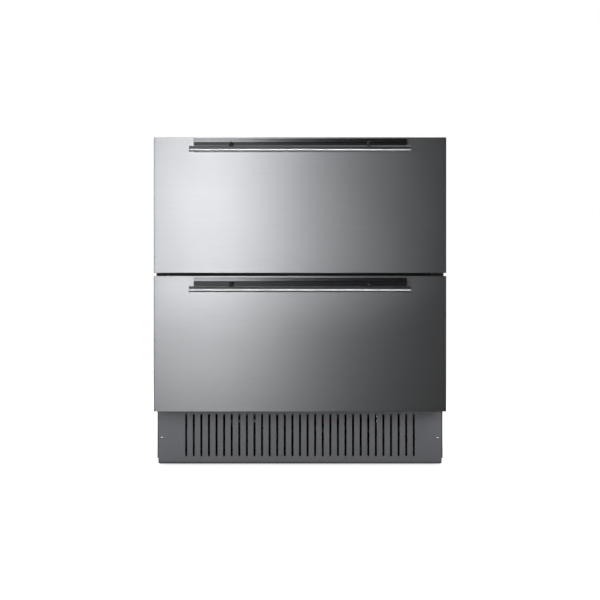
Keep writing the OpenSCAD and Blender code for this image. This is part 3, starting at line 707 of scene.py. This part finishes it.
def screw_tree():
    """Pan-head screws with cross recesses, one on each point of the mesh, each turned its own way."""
    tree = Tree("screws", Radius="Float", Height="Float", Recess="Float", Aim="Vector", Seed="Int")
    given = tree.inputs
    ball = tree.add("GeometryNodeMeshUVSphere", {"Segments": 24, "Rings": 12, "Radius": 1.0})[0]
    dome = tree.moved(ball, scaled=tree.vector(given["Radius"], given["Radius"], given["Height"]))
    below = tree.add("GeometryNodeMeshCube", {"Size": (0.1, 0.1, 0.1)})[0]
    cuts = [tree.moved(below, (0, 0, -0.05))]
    for long, short in (("x", "y"), ("y", "x")):
        sizes = {long: tree.maths("MULTIPLY", given["Radius"], 1.15), short: given["Recess"],
                 "z": given["Height"]}
        bar = tree.add("GeometryNodeMeshCube", {"Size": tree.vector(**sizes)})[0]
        cuts.append(tree.moved(bar, tree.vector(z=given["Height"])))
    head = tree.tree.nodes.new("GeometryNodeMeshBoolean")
    head.operation = "DIFFERENCE"
    tree.tree.links.new(dome, head.inputs["Mesh 1"])
    for cut in cuts:
        tree.tree.links.new(cut, head.inputs["Mesh 2"])
    spin = tree.add("FunctionNodeRandomValue", {2: 0.0, 3: pi, "Seed": given["Seed"]}, data_type="FLOAT")[1]
    aim = tree.add("FunctionNodeAlignRotationToVector", {"Vector": given["Aim"]}, axis="Z")[0]
    turn = tree.add("FunctionNodeRotateRotation", {
        "Rotation": aim, "Rotate By": tree.add("FunctionNodeEulerToRotation", {0: tree.vector(z=spin)})[0]},
        rotation_space="LOCAL")[0]
    return tree.finish(tree.on_points(given["Geometry"], head.outputs[0], Rotation=turn))


def repeat_tree():
    """Rows and columns of the mesh that the tree is given."""
    tree = Tree("rows_and_columns", Count="Int", Step="Vector", Rows="Int", Row_Step="Vector")
    given = tree.inputs
    line = tree.line(given["Count"], offset=given["Step"])
    column = tree.line(given["Rows"], offset=given["Row Step"])
    return tree.finish(tree.on_points(line, tree.on_points(column, given["Geometry"])))


def wheel_tree():
    """The mesh that the tree is given, repeated round a level axis that points backwards."""
    tree = Tree("wheel", Count="Int", Centre="Vector")
    given = tree.inputs
    points = tree.line(given["Count"], given["Centre"])
    index = tree.add("GeometryNodeInputIndex")[0]
    angle = tree.maths("DIVIDE", tree.maths("MULTIPLY", index, 2 * pi), given["Count"])
    turn = tree.add("FunctionNodeAxisAngleToRotation", {"Axis": BACK, "Angle": angle})[0]
    back = tree.add("ShaderNodeVectorMath", {0: given["Centre"], "Scale": -1.0}, operation="SCALE")[0]
    return tree.finish(tree.on_points(points, tree.moved(given["Geometry"], back), Rotation=turn))


def thread_tree():
    """The ridge of a screw thread that climbs round an upright stem."""
    tree = Tree("thread", Radius="Float", Turns="Float", Height="Float", Depth="Float", Place="Vector")
    given = tree.inputs
    helix = tree.add("GeometryNodeCurveSpiral", {
        "Resolution": 16, "Rotations": given["Turns"], "Start Radius": given["Radius"],
        "End Radius": given["Radius"], "Height": given["Height"]})[0]
    ridge = tree.add("GeometryNodeCurvePrimitiveCircle", {"Resolution": 4, "Radius": given["Depth"]})[0]
    swept = tree.add("GeometryNodeCurveToMesh", {
        "Curve": helix, "Profile Curve": ridge, "Fill Caps": True})[0]
    return tree.finish(tree.moved(swept, given["Place"]))


plate = plate_tree()
screws = screw_tree()
repeat = repeat_tree()
wheel = wheel_tree()
thread = thread_tree()


def screw_heads(points, aim, radius=3.5, height=2.2, seed=1):
    """Pan-head screws whose heads stand on the points."""
    mesh = bpy.data.meshes.new("points")
    mesh.from_pydata([placed(*p) for p in points], [], [])
    return screws.grow(screw_steel, mesh, Radius=radius * MM, Height=height * MM,
                       Recess=radius * 0.22 * MM, Aim=aim, Seed=seed)


def heads_each_side(points, aim, radius, height, seed):
    """Screws on the right that look along aim in x, and the same on the left."""
    return [screw_heads([(side * x, y, z) for x, y, z in points], (side * aim, 0, 0), radius, height, number)
            for side, number in ((1, seed), (-1, seed + 1))]


def repeated(mesh, count, step, rows=1, row_step=(0, 0, 0)):
    """One mesh of a small shape in rows and columns."""
    return repeat.grow(screw_steel, mesh, Count=count, Step=tuple(v * MM for v in step),
                       Rows=rows, Row_Step=tuple(v * MM for v in row_step))


# ---- Fronts and handles ----

MOUTH = {"upper": (521, 806), "lower": (186, 481)}       # lowest and highest z of each opening
# Half height, hook and the two ends in x of each slide member's folded path, on the right
MEMBERS = {"outer": (21.9, 4.4, 330.4, 319.2), "middle": (15.9, 0, 327.1, 319.8),
           "inner": (9.9, 0, 317.6, 324.4)}


def handle_bar(drawer):
    low, high = box(drawer + "_handle_bar")
    radius, half, rim = (high.z - low.z) / 2, (high.x - low.x) / 2, 1.6
    end = [(radius + dy, half + dx) for dx, dy in arc((-rim, -rim), rim, 0, 90, 5)]
    profile = [(TIP, -half)] + [(r, -h) for r, h in reversed(end)] + end + [(TIP, half)]
    build(drawer + "_bar", bar_steel, [turned(profile, 64, (low + high) / 2, RIGHT)],
          drawer + "_handle_bar")


def handle_rail(drawer):
    """Extrusion with a bright lip above and a channel behind the bar; the channel's dark colour is painted
    shade for the bar's reflection and shadow on the steel.
    """
    low, high = box(drawer + "_handle_rail")
    fold = high.z - 9
    lip = [(0, high.z)] + arc((-8.6, high.z - 1.4), 1.4, 90, 180, 6) + arc((-9, fold), 1, 180, 270, 3)
    channel = [(0, fold - 1), (-6.4, fold - 1), (-7, fold - 1.6)]
    channel += arc((-5.5, low.z + 1.5), 1.5, 180, 270, 4) + [(0, low.z)]
    build(drawer + "_rail_lip", rail_steel, [prism(lip + [(0, fold - 1)], low.x, high.x)],
          drawer + "_handle_rail", edge=0.4)
    # The channel's dark colour is painted shade for the bar's reflection and shadow above it.
    build(drawer + "_rail_channel", handle_black, [prism(channel, low.x, high.x)],
          drawer + "_handle_rail", edge=0.3)


def handle_posts(drawer):
    """Two rods with saddles for the bar, each with a collar against the rail."""
    low, high = box(drawer + "_handle_posts")
    rod, rail_face = 5, -9
    collar = [(5.2, 0), (6.6, 0), (7.2, 0.6), (7.2, 1.6), (6.8, 2), (5.2, 2)]
    collars = [revolved(collar, 40, (x, rail_face, high.z - rod), BACK)
               for x in (low.x + rod, high.x - rod)]
    build(drawer + "_posts", handle_black, [cad_mesh(drawer + "_handle_posts"), *collars],
          drawer + "_handle_posts", edge=0.4)


def inner_panel(drawer):
    """Moulded back of a front: a plate with a raised dyke round it and a shallow inner field."""
    low, high = box(drawer + "_inner_panel")
    back = high.y - 13
    bottom, top = MOUTH[drawer]
    half, width, clear = 329, 9, 6
    edge = width / 2
    ridge = [(-edge - 2, back - 0.5), (-edge - 0.6, back + 0.6), (-edge, back + 2)]
    for side, start, end in ((-1, 180, 90), (1, 90, 0)):
        ridge += [(side * (edge - 3) + x, high.y - 3 + y) for x, y in arc((0, 0), 3, start, end, 4)]
    ridge += [(edge, back + 2), (edge, back - 0.5)]
    dyke = upright_ring(half - edge, bottom + clear + edge, top - clear - edge, 13 - edge, ridge)
    bead = [(-2.5, back - 0.5)] + [(x, back - 0.4 + y * 0.5) for x, y in arc((0, 0), 2.5, 180, 0, 6)]
    field = upright_ring(262, bottom + 46, top - 46, 14, bead + [(2.5, back - 0.5)])
    sheet = slab(corners(low.x, high.x, low.z, high.z, 6), low.y, back)
    build(drawer + "_inner_panel_moulding", liner_white, [sheet, dyke, field],
          drawer + "_inner_panel", edge=0.9)


def gasket(drawer):
    """Soft profile with a foot, a bellows and a magnet strip, mitred round the corners."""
    low, high = box(drawer + "_gasket")
    front, back, half = low.y, high.y, 6
    folds = [(6, 0), (6, 1.4), (5.2, 2.4), (3.2, 2.9), (2.2, 3.6), (2.6, 4.3), (3.7, 4.8), (3.9, 5.3),
             (2.6, 5.9), (2.3, 6.5), (3.4, 7), (5.5, 7.2), (6, 7.8)]
    side = [(x, front + y) for x, y in folds] + [(6, back - 0.7), (5.4, back)]
    ring = upright_ring(high.x - half, low.z + half, high.z - half, 7,
                        side + [(-x, y) for x, y in reversed(side)])
    build(drawer + "_gasket_profile", seal_rubber, [ring], drawer + "_gasket")


def bin_tub(drawer):
    """Clear tub with drafted walls, a rolled rim, round floor corners and ribs across the floor."""
    low, high = box(drawer + "_bin")
    half, front, back, top = high.x - 9, low.y + 2, high.y - 4, high.z
    draft, wall, outer_bend, inner_bend = 8, 2.5, 14, 11.5
    floor = low.z + wall

    def ring(z, inset, flange=0.0):
        x = half - inset + 9 * flange
        return [(px, py, z) for px, py in corners(
            -x, x, front + inset - 2 * flange, back - inset + 4 * flange,
            max(22 - inset / 2 + 4 * flange, 5), 6)]

    def lean(z):
        return draft * (top - z) / (top - low.z)

    def bend(base, radius, inset):
        """Rings round the corner between the floor and the walls, from the floor up."""
        heights = [(base + radius * up, radius * inwards) for inwards, up in quarter()]
        return [ring(z, inset + lean(z) + inwards) for z, inwards in heights]

    rim = [(2.4, 0, 0.1), (2.2, 0, 0.7), (2.8, 0, 0.76), (4, 0, 0.8), (4, 0, 0.93), (3.4, 0, 1), (0.9, 0, 1),
           (0.25, 0, 0.94), (0, 0, 0.84), (0, 0.8), (0.4, 1.9), (1.4, wall)]
    rings = bend(low.z, outer_bend, 0) + [ring(top - 2.8, lean(top - 2.8))]
    rings += [ring(top - down, *sizes) for down, *sizes in rim] + bend(floor, inner_bend, wall)[::-1]
    pitch = (back - front - 40) / 8
    rib = tube([(x, front + 20 + pitch, floor) for x in (44 - half, half - 44)], 1.5, 10)
    build(drawer + "_bin_tub", bin_clear, [loft(rings), repeated(rib, 7, (0, pitch, 0))],
          drawer + "_bin")


def carriers(drawer):
    """Angle on each side that carries the bin, with the screws that hold its flange."""
    softened(drawer + "_carriers", zinc_steel, 0.4)
    low, high = box(drawer + "_carriers")
    inner = high.x - 1.5
    heads = [(side * (inner - 12), low.y + 2, z) for side in (-1, 1)
             for z in (low.z + 14, (low.z + high.z) / 2 - 8, high.z - 16)]
    rivets = [(inner, y, slide_height(drawer)) for y in (90, 210, 330, 440)]
    build(drawer + "_carrier_screws", screw_steel, [
        screw_heads(heads, BACK, 4, 2.2, seed=3), *heads_each_side(rivets, -1, 2.6, 1.1, seed=4)],
        body=drawer + "_drawer")


def slide_height(drawer):
    low, high = box(drawer + "_slide_outer")
    return (low.z + high.z) / 2


def telescopic_slide(drawer):
    """Three folded members on each side, with the balls and cages between them."""
    z, middle = slide_height(drawer), drawer + "_slide_middle"
    low, high = box(drawer + "_slide_outer")
    for member, (half, hook, web, lip) in MEMBERS.items():
        path = [(lip, z + half), (web, z + half), (web, z - half), (lip, z - half)]
        if hook:
            path = [(lip, z + half - hook)] + path + [(lip, z - half + hook)]
        meshes = [folded(path, 1.2, low.y, high.y, side) for side in (-1, 1)]
        build(f"{drawer}_slide_{member}_rail", zinc_steel, meshes, f"{drawer}_slide_{member}", edge=0.25)
    radius, pitch, balls, cages = 2.35, 8.6, [], []
    angles = (0.02, *(pi * k / 6 for k in range(1, 6)), pi - 0.02)
    ball = [(radius * sin(a), -radius * cos(a)) for a in angles]
    # Where each row of balls starts, its place in x, and how far it is above and below the middle
    for start, x, up in ((low.y + 238, 323.5, 18.9), (low.y + 13, 322, 12.9)):
        row = repeated(turned(ball, 10, (x, start, z - up)), 18, (0, pitch, 0), 2, (0, 0, 2 * up))
        balls += [row, mirrored(row)]
        for side in (-1, 1):
            for dz in (-up, up):
                cages.append(block(*sorted((side * (x - 0.4), side * (x + 0.4))), start - 4,
                                   start + 150.4, z + dz - 1.7, z + dz + 1.7))
    build(f"{drawer}_slide_balls", screw_steel, balls, body=middle)
    build(f"{drawer}_slide_cages", zinc_steel, cages, body=middle, edge=0.2)
    heads = [(329.8, y, z) for y in (96, 262, 428)]
    build(f"{drawer}_slide_screws", screw_steel, heads_each_side(heads, -1, 3.6, 1.2, seed=6))


for drawer in ("upper", "lower"):
    softened(drawer + "_front_skin", front_steel, 1.6, 3)
    dressed(drawer + "_front_foam", foam)
    for make in (handle_rail, handle_posts, handle_bar, inner_panel, gasket, carriers, bin_tub):
        make(drawer)
    telescopic_slide(drawer)

# ---- Kick grille and covers ----


def bent_strip(path, thickness, halves):
    """Sheet bent along a path of (y, z) points, whose half width may change along it."""
    path, rings = [Vector(p) for p in path], []
    for i, (p, half) in enumerate(zip(path, halves)):
        ahead = along(path, i)
        (y, z), (back, up) = p, p + Vector((-ahead.y, ahead.x)) * thickness
        rings.append([(-half, y, z), (half, y, z), (half, back, up), (-half, back, up)])
    return loft(rings)


def kick_grille():
    """Slotted sheet folded back along its lower and upper edges."""
    low, high = box("kick_grille")
    half, sheet, bend, hem, corner, slots_middle = high.x, 1, 7, 2.5, 5, 78.5
    fold, top = low.z + bend, high.z - hem
    middle = (top + fold) / 2
    face = plate.grow(
        grille_steel, Width=2 * half * MM, Height=(top - fold) * MM, Corner=0.0, Thickness=sheet * MM,
        Columns=31, Rows=1, Column_Pitch=0.02, Row_Pitch=0.1, Slot_Width=0.0055, Slot_Height=0.11,
        Slot_Corner=0.0008, Field_Height=(slots_middle - middle) * MM,
        Place=tuple(placed(0, low.y + sheet, middle)))
    under = [(low.y + bend + y, fold + z) for y, z in arc((0, 0), bend, 180, 270, 8)] + [(low.y + 10, low.z)]
    taken = [half - max(0.0, corner - sqrt(max(corner ** 2 - (corner - (z - low.z)) ** 2, 0)))
             if z - low.z < corner else half for y, z in under]
    over = [(low.y + hem + y, top + z) for y, z in arc((0, 0), hem, 180, 90, 4)] + [(low.y + 10, high.z)]
    build("kick_grille_sheet", grille_steel, [
        face, bent_strip(under, sheet, taken),
        bent_strip(over, -sheet, [half] + [half - 1] * 3 + [half - 6] * 2)], "kick_grille")


def rear_cover():
    """Sheet over the machine space, with hooded air slots and an opening for the cord's bush."""
    low, high = box("rear_cover")
    face_y, middle, pitch, rows = high.y, (low.z + high.z) / 2, 14, 9
    first, last = 70.5, 126.5       # heights of the lowest and the middle row of slots
    sheet = plate.grow(
        zinc_steel, Width=2 * high.x * MM, Height=(high.z - low.z) * MM, Corner=0.003, Thickness=1 * MM,
        Columns=2, Rows=rows, Column_Pitch=0.3, Row_Pitch=pitch * MM, Slot_Width=0.17, Slot_Height=0.005,
        Slot_Corner=0.002, Field_Height=(last - middle) * MM, Place=tuple(placed(0, face_y, middle)))
    cord = sum(box("cord_gland"), Vector()) / 2
    bush = plug([(8.5, -3), (8.5, 3)], 40, (cord.x, face_y, cord.z), BACK)
    face = bare(cut(new_piece("sheet", sheet), bush))
    hood = [(-0.2, 5), (0.8, 4.6), (3.4, -1.2), (2.9, -1.8), (0, 3.2), (-0.2, 3.2)]
    parts = [prism([(face_y + y, first + z) for y, z in hood], -235, -65)]
    parts += [block(x, x + 0.8, face_y - 0.2, face_y + 0.7, 69.4, 75) for x in (-235.8, -65)]
    hoods = repeated(joined(parts), rows, (0, 0, pitch), 2, (300, 0, 0))
    lip = block(low.x + 1, high.x - 1, low.y, face_y - 1, high.z - 1, high.z)
    build("rear_cover_hooded", zinc_steel, [face, hoods, lip], "rear_cover")


def back_panel():
    """Back sheet with its pressed field, and the plugs of the four holes that the foam went in by."""
    softened("back_panel", zinc_steel, 0.9, 3)
    low, high = box("back_panel")
    pressed = 4
    profile = [(TIP, -0.1), (13, -0.1), (13, 0.5), (12, 1.1), (9.5, 1.3), (8.8, 0.8), (TIP, 0.8)]
    build("foam_plugs", black_plastic, [
        turned(profile, 40, (x, high.y - pressed, z), BACK)
        for x in (-210, 210) for z in (low.z + 130, high.z - 110)])


def panel_screws():
    """Two screws in the grille and six in the rear cover."""
    grille, cover = box("kick_grille")[0].y, box("rear_cover")[1].y
    front = [(x, grille, 72) for x in (-363.5, 363.5)]
    rear = [(x, cover, z) for x in (-340, 0, 340) for z in (30, 214)]
    build("cover_screws", screw_steel, [
        screw_heads(front, FORWARD), screw_heads(rear, BACK, seed=2)], "panel_screws")


def cabinet_rivets():
    """Flat heads along the sides and on the counter brackets."""
    high = box("side_panel_right")[1]
    sides = [(high.x, high.y - 14, z) for z in (40, 190, 350, 510, 670, 830)]
    sides += [(high.x, y, 34) for y in (110, 260, 410)]
    straps = [(x, y, box("counter_brackets")[1].z) for x in (-332, -308, 308, 332) for y in (72, 92)]
    build("cabinet_screws", screw_steel, [
        *heads_each_side(sides, 1, 3.2, 1.1, seed=8), screw_heads(straps, UP, 3.2, 1.2, seed=10)])


kick_grille()
rear_cover()
back_panel()
panel_screws()
cabinet_rivets()
dressed("insulation", foam)

# ---- Liner ----


def inner_liner():
    """The white tub, with the round inner corners of a formed sheet."""
    mesh = cad_mesh("inner_liner")
    inside = placed(box("upper_slide_outer")[1].x + 0.2, 0, 0).x
    mouth = placed(0, box("mullion_cover")[0].y + 3, 0).y

    def turned_in(edge):
        at = [v.co for v in edge.verts]
        return (all(abs(p.x) < inside and p.y > mouth - 0.002 for p in at) and any(p.y > mouth for p in at)
                and len(edge.link_faces) == 2 and edge.calc_face_angle_signed(0) < -0.7)

    with opened(mesh) as bm:
        bmesh.ops.bevel(bm, geom=[e for e in bm.edges if turned_in(e)], offset=12 * MM, segments=5,
                        affect="EDGES", profile=0.5, clamp_overlap=True)
    build("inner_liner_tub", liner_white, [mesh], "inner_liner", edge=0.8)


def evaporator_cover():
    """Moulded cover with a rounded face, a row of return slots and a round grille for the fan."""
    low, high = box("evaporator_cover")
    wall, fan_z = 2, 720

    def ring(y, inset, radius):
        return [(x, y, z) for x, z in corners(
            low.x + inset, high.x - inset, low.z + inset, high.z - inset, radius - inset / 2)]

    rings = [ring(low.y + 7 * back, 7 * inwards, 12) for inwards, back in quarter()]
    inner = [ring(low.y + wall + 5 * back, wall + 5 * inwards, 10) for inwards, back in quarter()]
    rings.append(ring(high.y, 0, 12))
    inner.append(ring(high.y + 1, wall, 11))
    slot = slab(corners(-245, -235, low.z + 16, low.z + 52, 4.9), low.y - 1, low.y + 3)
    cuts = [loft(inner), repeated(slot, 21, (24, 0, 0))]
    for radius in (14.5, 24, 33.5):
        for start in (30, 150, 270):
            end = start + 120 - degrees(5 / radius)
            outer = arc((0, fan_z), radius + 3.4, start, end, 14)
            cuts.append(slab(outer + arc((0, fan_z), radius - 3.4, end, start, 14), low.y - 1, low.y + 3))
    build("evaporator_cover_moulding", liner_white, [loft(rings)], "evaporator_cover", cuts=cuts)


inner_liner()
evaporator_cover()

# ---- Cooling ----


def fan(name, node, radius, hub, blades, finish):
    """Axial fan: a domed hub on the motor's shaft and twisted, cambered blades."""
    low, high = box(node)
    at = ((low.x + high.x) / 2, low.y, (low.z + high.z) / 2)
    depth, camber, thick = high.y - low.y, 0.07, 0.8
    dome = [(TIP, 0.4), (hub * 0.5, 0.6), (hub * 0.82, 1.6), (hub - 0.5, 3.4), (hub, 5.5), (hub, depth),
            (hub - 1.8, depth), (hub - 1.8, 6), (5.5, 6), (5.5, depth - 1), (2.55, depth - 1), (2.55, 3),
            (TIP, 3)]
    rings = []
    for share in (s / 6 for s in range(7)):
        # From the hub to the tip the blade gets wider and flatter
        r = hub - 1 + (radius - hub + 0.7) * share
        chord = radius * (0.46 + 0.26 * share)
        pitch = radians(46 - 22 * share)
        section = []
        for t, side in [(k / 8, 1) for k in range(9)] + [(k / 8, -1) for k in range(7, 0, -1)]:
            u = chord * (t - 0.5)
            v = camber * chord * sin(pi * t) + side * thick * sqrt(max(sin(pi * t), 0.04))
            angle = (u * cos(pitch) - v * sin(pitch)) / r
            axial = u * sin(pitch) + v * cos(pitch)
            section.append((at[0] + r * sin(angle), at[1] + depth / 2 + axial, at[2] + r * cos(angle)))
        rings.append(section)
    vanes = wheel.grow(finish, loft(rings), Count=blades, Centre=tuple(placed(*at)))
    build(name, finish, [turned(dome, 48, at, BACK), vanes], node)


def rounded_block(x0, x1, y0, y1, z0, z1):
    return plan(corners(x0, x1, y0, y1, 2.5, 3), z0, z1)


def coil(name, finish, pitch):
    """Thin fins on rows of tubes, between two headers."""
    low, high = box(name)
    header, sheet, tubes = 12, 0.4, 4
    x0, width = low.x + header, high.x - low.x - 2 * header
    count = int(width / pitch)
    fin = block(x0, x0 + sheet, low.y, high.y, low.z, high.z)
    row = (high.z - low.z) / tubes
    pipe = tube([(x, (low.y + high.y) / 2, low.z + row / 2) for x in (low.x + 4, high.x - 4)], 4, 20)
    headers = [rounded_block(x, x + 8, low.y + 8, high.y - 8, low.z, high.z) for x in (low.x, high.x - 8)]
    build(name + "_fins", finish, [repeated(fin, count + 1, ((width - sheet) / count, 0, 0))], name)
    build(name + "_tubes", finish, [repeated(pipe, tubes, (0, 0, row))])
    build(name + "_headers", finish, headers, edge=1.2, segments=3)


def compressor():
    """Welded shell with its seam, foot plate, neck, terminal cover and stubs."""
    cx, cy, foot, base, top = 130, 515, 31.5, 37.5, 187.5
    shell = [(TIP, base)] + arc((36, base + 34), 34, -90, 0, 10)
    shell += [(70, base + 81), (72.4, base + 82), (73, base + 83), (73, base + 86.6), (72.4, base + 87.4),
              (69.4, base + 88.4)]
    shell += arc((35.4, top - 34), 34, 0, 90, 10) + [(TIP, top)]
    build("compressor_shell", compressor_black, [
        turned(shell, 64, (cx, cy, 0)),
        plan(corners(cx - 85, cx + 85, cy - 72, cy + 72, 14), foot, foot + 3),
        plug([(50, foot), (47, foot + 8), (44, foot + 14)], 48, (cx, cy, 0)),
        block(cx + 64, cx + 92, cy - 28, cy + 28, base + 40, base + 102),
        block(cx + 90, cx + 94, cy - 30, cy + 30, base + 38, base + 104),
        tube([(cx, cy, 84), (cx, cy - 80, 84)], 5, 24),
        tube([(cx, cy, 134), (cx - 80, cy, 134)], 6, 24)], "compressor", edge=1.2)
    mount = [(TIP, 19.5), (10.2, 19.5), (11, 20.3), (11, 22.8), (10.2, 23.5), (8.3, 24), (8, 24.6), (8, 26.6),
             (8.3, 27.2), (10.2, 27.6), (11, 28.3), (11, 30.8), (10.2, 31.5), (TIP, 31.5)]
    build("compressor_grommets", rubber_black, [
        repeated(turned(mount, 32, (cx - 70, cy - 57, 0)), 2, (140, 0, 0), 2, (0, 114, 0))],
        "compressor_mounts")
    bolts = [(cx + dx, cy + dy, foot + 3) for dx in (-70, 70) for dy in (-57, 57)]
    build("compressor_bolts", screw_steel, [screw_heads(bolts, UP, 5, 3, seed=11)])


def refrigerant_lines():
    """Copper lines with round bends, soldered collars and the drier."""
    discharge = filleted([(130, 435, 84), (130, 390, 84), (30, 390, 84), (30, 122, 84), (2, 122, 84)], 16, 8)
    suction = filleted([(50, 515, 134), (-60, 515, 134), (-60, 515, 225)], 24, 8)
    drier = [(3.1, 0), (3.6, 4), (8, 12), (9, 15), (9, 75), (8, 78), (3.6, 86), (3.1, 90)]
    build("copper_lines", copper, [
        tube(discharge, 3, 18), tube(suction, 4, 18), plug(drier, 32, (30, 170, 84), BACK),
        plug([(5.4, -4), (6.2, -3), (6.2, 5), (3.4, 8)], 24, (130, 435, 84), FORWARD),
        plug([(6.4, -4), (7.2, -3), (7.2, 5), (4.4, 8)], 24, (50, 515, 134), LEFT)],
        "refrigerant_lines")


def drip_tray():
    low, high = box("drip_tray")
    up = [(low.z, 8), (low.z + 1, 5.6), (low.z + 4, 4.4), (high.z - 3, 3), (high.z - 2.6, 1), (high.z - 2, 0),
          (high.z - 0.6, 0), (high.z, 0.8)]
    down = [(high.z, 3.4), (high.z - 1, 4.6), (low.z + 5.4, 6.4), (low.z + 2.4, 9)]
    rings = [[(x, y, z) for x, y in corners(low.x + inset, high.x - inset, low.y + inset, high.y - inset,
                                            16 - inset / 2, 6)] for z, inset in up + down]
    build("drip_tray_moulding", black_plastic, [loft(rings)], "drip_tray")


def levelling_foot(corner):
    """Coated foot: a pad, a hexagon and a threaded stem with a slot in its end."""
    low, high = box(corner + "_foot")
    x, y = (low.x + high.x) / 2, (low.y + high.y) / 2
    pad = [(TIP, 0), (18.8, 0), (20, 0.9), (20, 3), (19.3, 3.9), (17, 4.6), (10.4, 8.4), (9, 9), (TIP, 9)]
    stem = [(TIP, 15), (4.5, 15), (4.5, 58.6), (3.4, 60), (TIP, 60)]
    hexagon = [[(x + r * cos(radians(60 * k)), y + r * sin(radians(60 * k)), z) for k in range(6)]
               for r, z in ((8.4, 8.6), (9, 9.4), (9, 15.4), (8.4, 16))]
    helix = thread.grow(foot_steel, Radius=4.42 * MM, Turns=27.0, Height=40 * MM, Depth=0.55 * MM,
                        Place=tuple(placed(x, y, 17.5)))
    rod = cut(new_piece("stem", turned(stem, 32, (x, y, 0))), block(x - 6, x + 6, y - 0.6, y + 0.6, 58, 61))
    build(corner + "_levelling_foot", foot_steel, [
        turned(pad, 48, (x, y, 0)), loft(hexagon), bare(rod), helix], corner + "_foot")


fan("condenser_fan_wheel", "condenser_fan", 48, 15, 5, fan_white)
fan("evaporator_fan_wheel", "evaporator_fan", 42, 13, 5, fan_white)
coil("condenser", coil_black, 3.3)
coil("evaporator", coil_aluminium, 4.5)
compressor()
refrigerant_lines()
drip_tray()
for corner in ("front_left", "front_right", "rear_left", "rear_right"):
    levelling_foot(corner)

# ---- Controls and light ----


def control_panel():
    """Small dark panel over the upper mouth, with a glass window and three buttons."""
    low, high = box("control_panel")
    front, middle = low.y, (low.z + high.z) / 2

    def window(grow, radius, y0, y1):
        return slab(corners(-25.6 - grow, 9.6 + grow, middle - 4.6 - grow, middle + 4.6 + grow, radius),
                    front + y0, front + y1)

    holes = [plug([(4.8, -2), (4.8, 5)], 32, (x, front, middle), BACK) for x in (-42, 22, 42)]
    build("control_panel_moulding", black_plastic, [
        slab(corners(low.x, high.x, low.z, high.z, 4), front, high.y)], "control_panel", edge=0.3,
        cuts=[*holes, window(0.4, 1, -1, 0.8)])
    build("control_window", display_glass, [window(0, 0.8, 0.2, 1.2)], edge=0.15)
    dot = turned([(0.05, 0.5), (0.7, 0.4), (0.9, 0.1), (0.9, -0.4), (0.05, -0.4)], 16,
                 (-20.5, front + 0.2, middle), FORWARD)
    build("control_lamps", lens, [repeated(dot, 5, (6.2, 0, 0))])
    for button in ("power_button", "warmer_button", "colder_button"):
        lo, hi = box(button)
        r, depth = (hi.x - lo.x) / 2, hi.y - lo.y
        cap = [(TIP, 0.45), (r - 1.4, 0.15), (r - 0.9, 0), (r - 0.6, 0.1), (r - 0.5, 0.5), (r - 0.5, 0.8),
               (r, 0.9), (r, depth), (TIP, depth)]
        build(button + "_cap", button_grey, [
            turned(cap, 40, ((lo.x + hi.x) / 2, lo.y, (lo.z + hi.z) / 2), BACK)], button)


def lamp_lens():
    low, high = box("light_lens")
    rib, pitch = 0.9, 4
    ridge = tube([(low.x + 3, y, low.z + rib) for y in (low.y + 1.5, high.y - 1.5)], rib, 10)
    body = rounded_block(low.x, high.x, low.y, high.y, low.z + rib, high.z)
    build("light_lens_ribbed", lens, [body, repeated(ridge, 77, (pitch, 0, 0))], "light_lens")


def cord_gland():
    """Rubber bush in the rear cover."""
    low, high = box("cord_gland")
    face = box("rear_cover")[1].y
    outline = [(4.5, low.y + 0.6), (5.2, low.y), (10.4, low.y), (11, low.y + 0.6), (11, face - 1.6),
               (10.4, face - 1), (8.5, face - 1), (8.5, face), (10.9, face), (11.5, face + 0.6),
               (11.5, face + 1.9), (10.8, face + 2.5), (8.9, face + 2.6), (8.4, high.y - 0.5), (7.8, high.y),
               (5.2, high.y), (4.5, high.y - 0.7)]
    middle = ((low.x + high.x) / 2, 0, (low.z + high.z) / 2)
    build("cord_bush", rubber_black, [revolved(outline, 40, middle, BACK)], "cord_gland")


control_panel()
lamp_lens()
cord_gland()
for node, finish, edge in (
        ("side_panel_left", cabinet_steel, 0.6), ("side_panel_right", cabinet_steel, 0.6),
        ("top_panel", cabinet_steel, 0.5), ("base_pan", zinc_steel, 0.5), ("deck_panel", zinc_steel, 0.5),
        ("mullion_cover", cabinet_steel, 0.5), ("counter_brackets", zinc_steel, 0.3),
        ("fan_shroud", black_plastic, 0.6), ("fan_motors", zinc_steel, 0.8), ("control_box", zinc_steel, 0.9),
        ("light_bar", liner_white, 0.9)):
    softened(node, finish, edge)

# ---- Flags ----


def flagged(lamp, pieces, state):
    """Keeps a lamp on, or off, the named pieces, as a studio's flags do."""
    group = bpy.data.collections.new(lamp.name + "_flag")
    for piece in pieces:
        group.objects.link(bpy.data.objects[piece])
    for member in group.collection_objects:
        member.light_linking.link_state = state
    lamp.light_linking.receiver_collection = group
    lamp.light_linking.blocker_collection = group


bars = [drawer + part for drawer in ("upper", "lower") for part in ("_bar", "_posts")]
flagged(key_lamp, bars, "EXCLUDE")
flagged(bar_lamp, bars, "INCLUDE")
flagged(strip_lamp, bars, "INCLUDE")
flagged(kick_lamp, ["kick_grille_sheet", "cover_screws"], "INCLUDE")
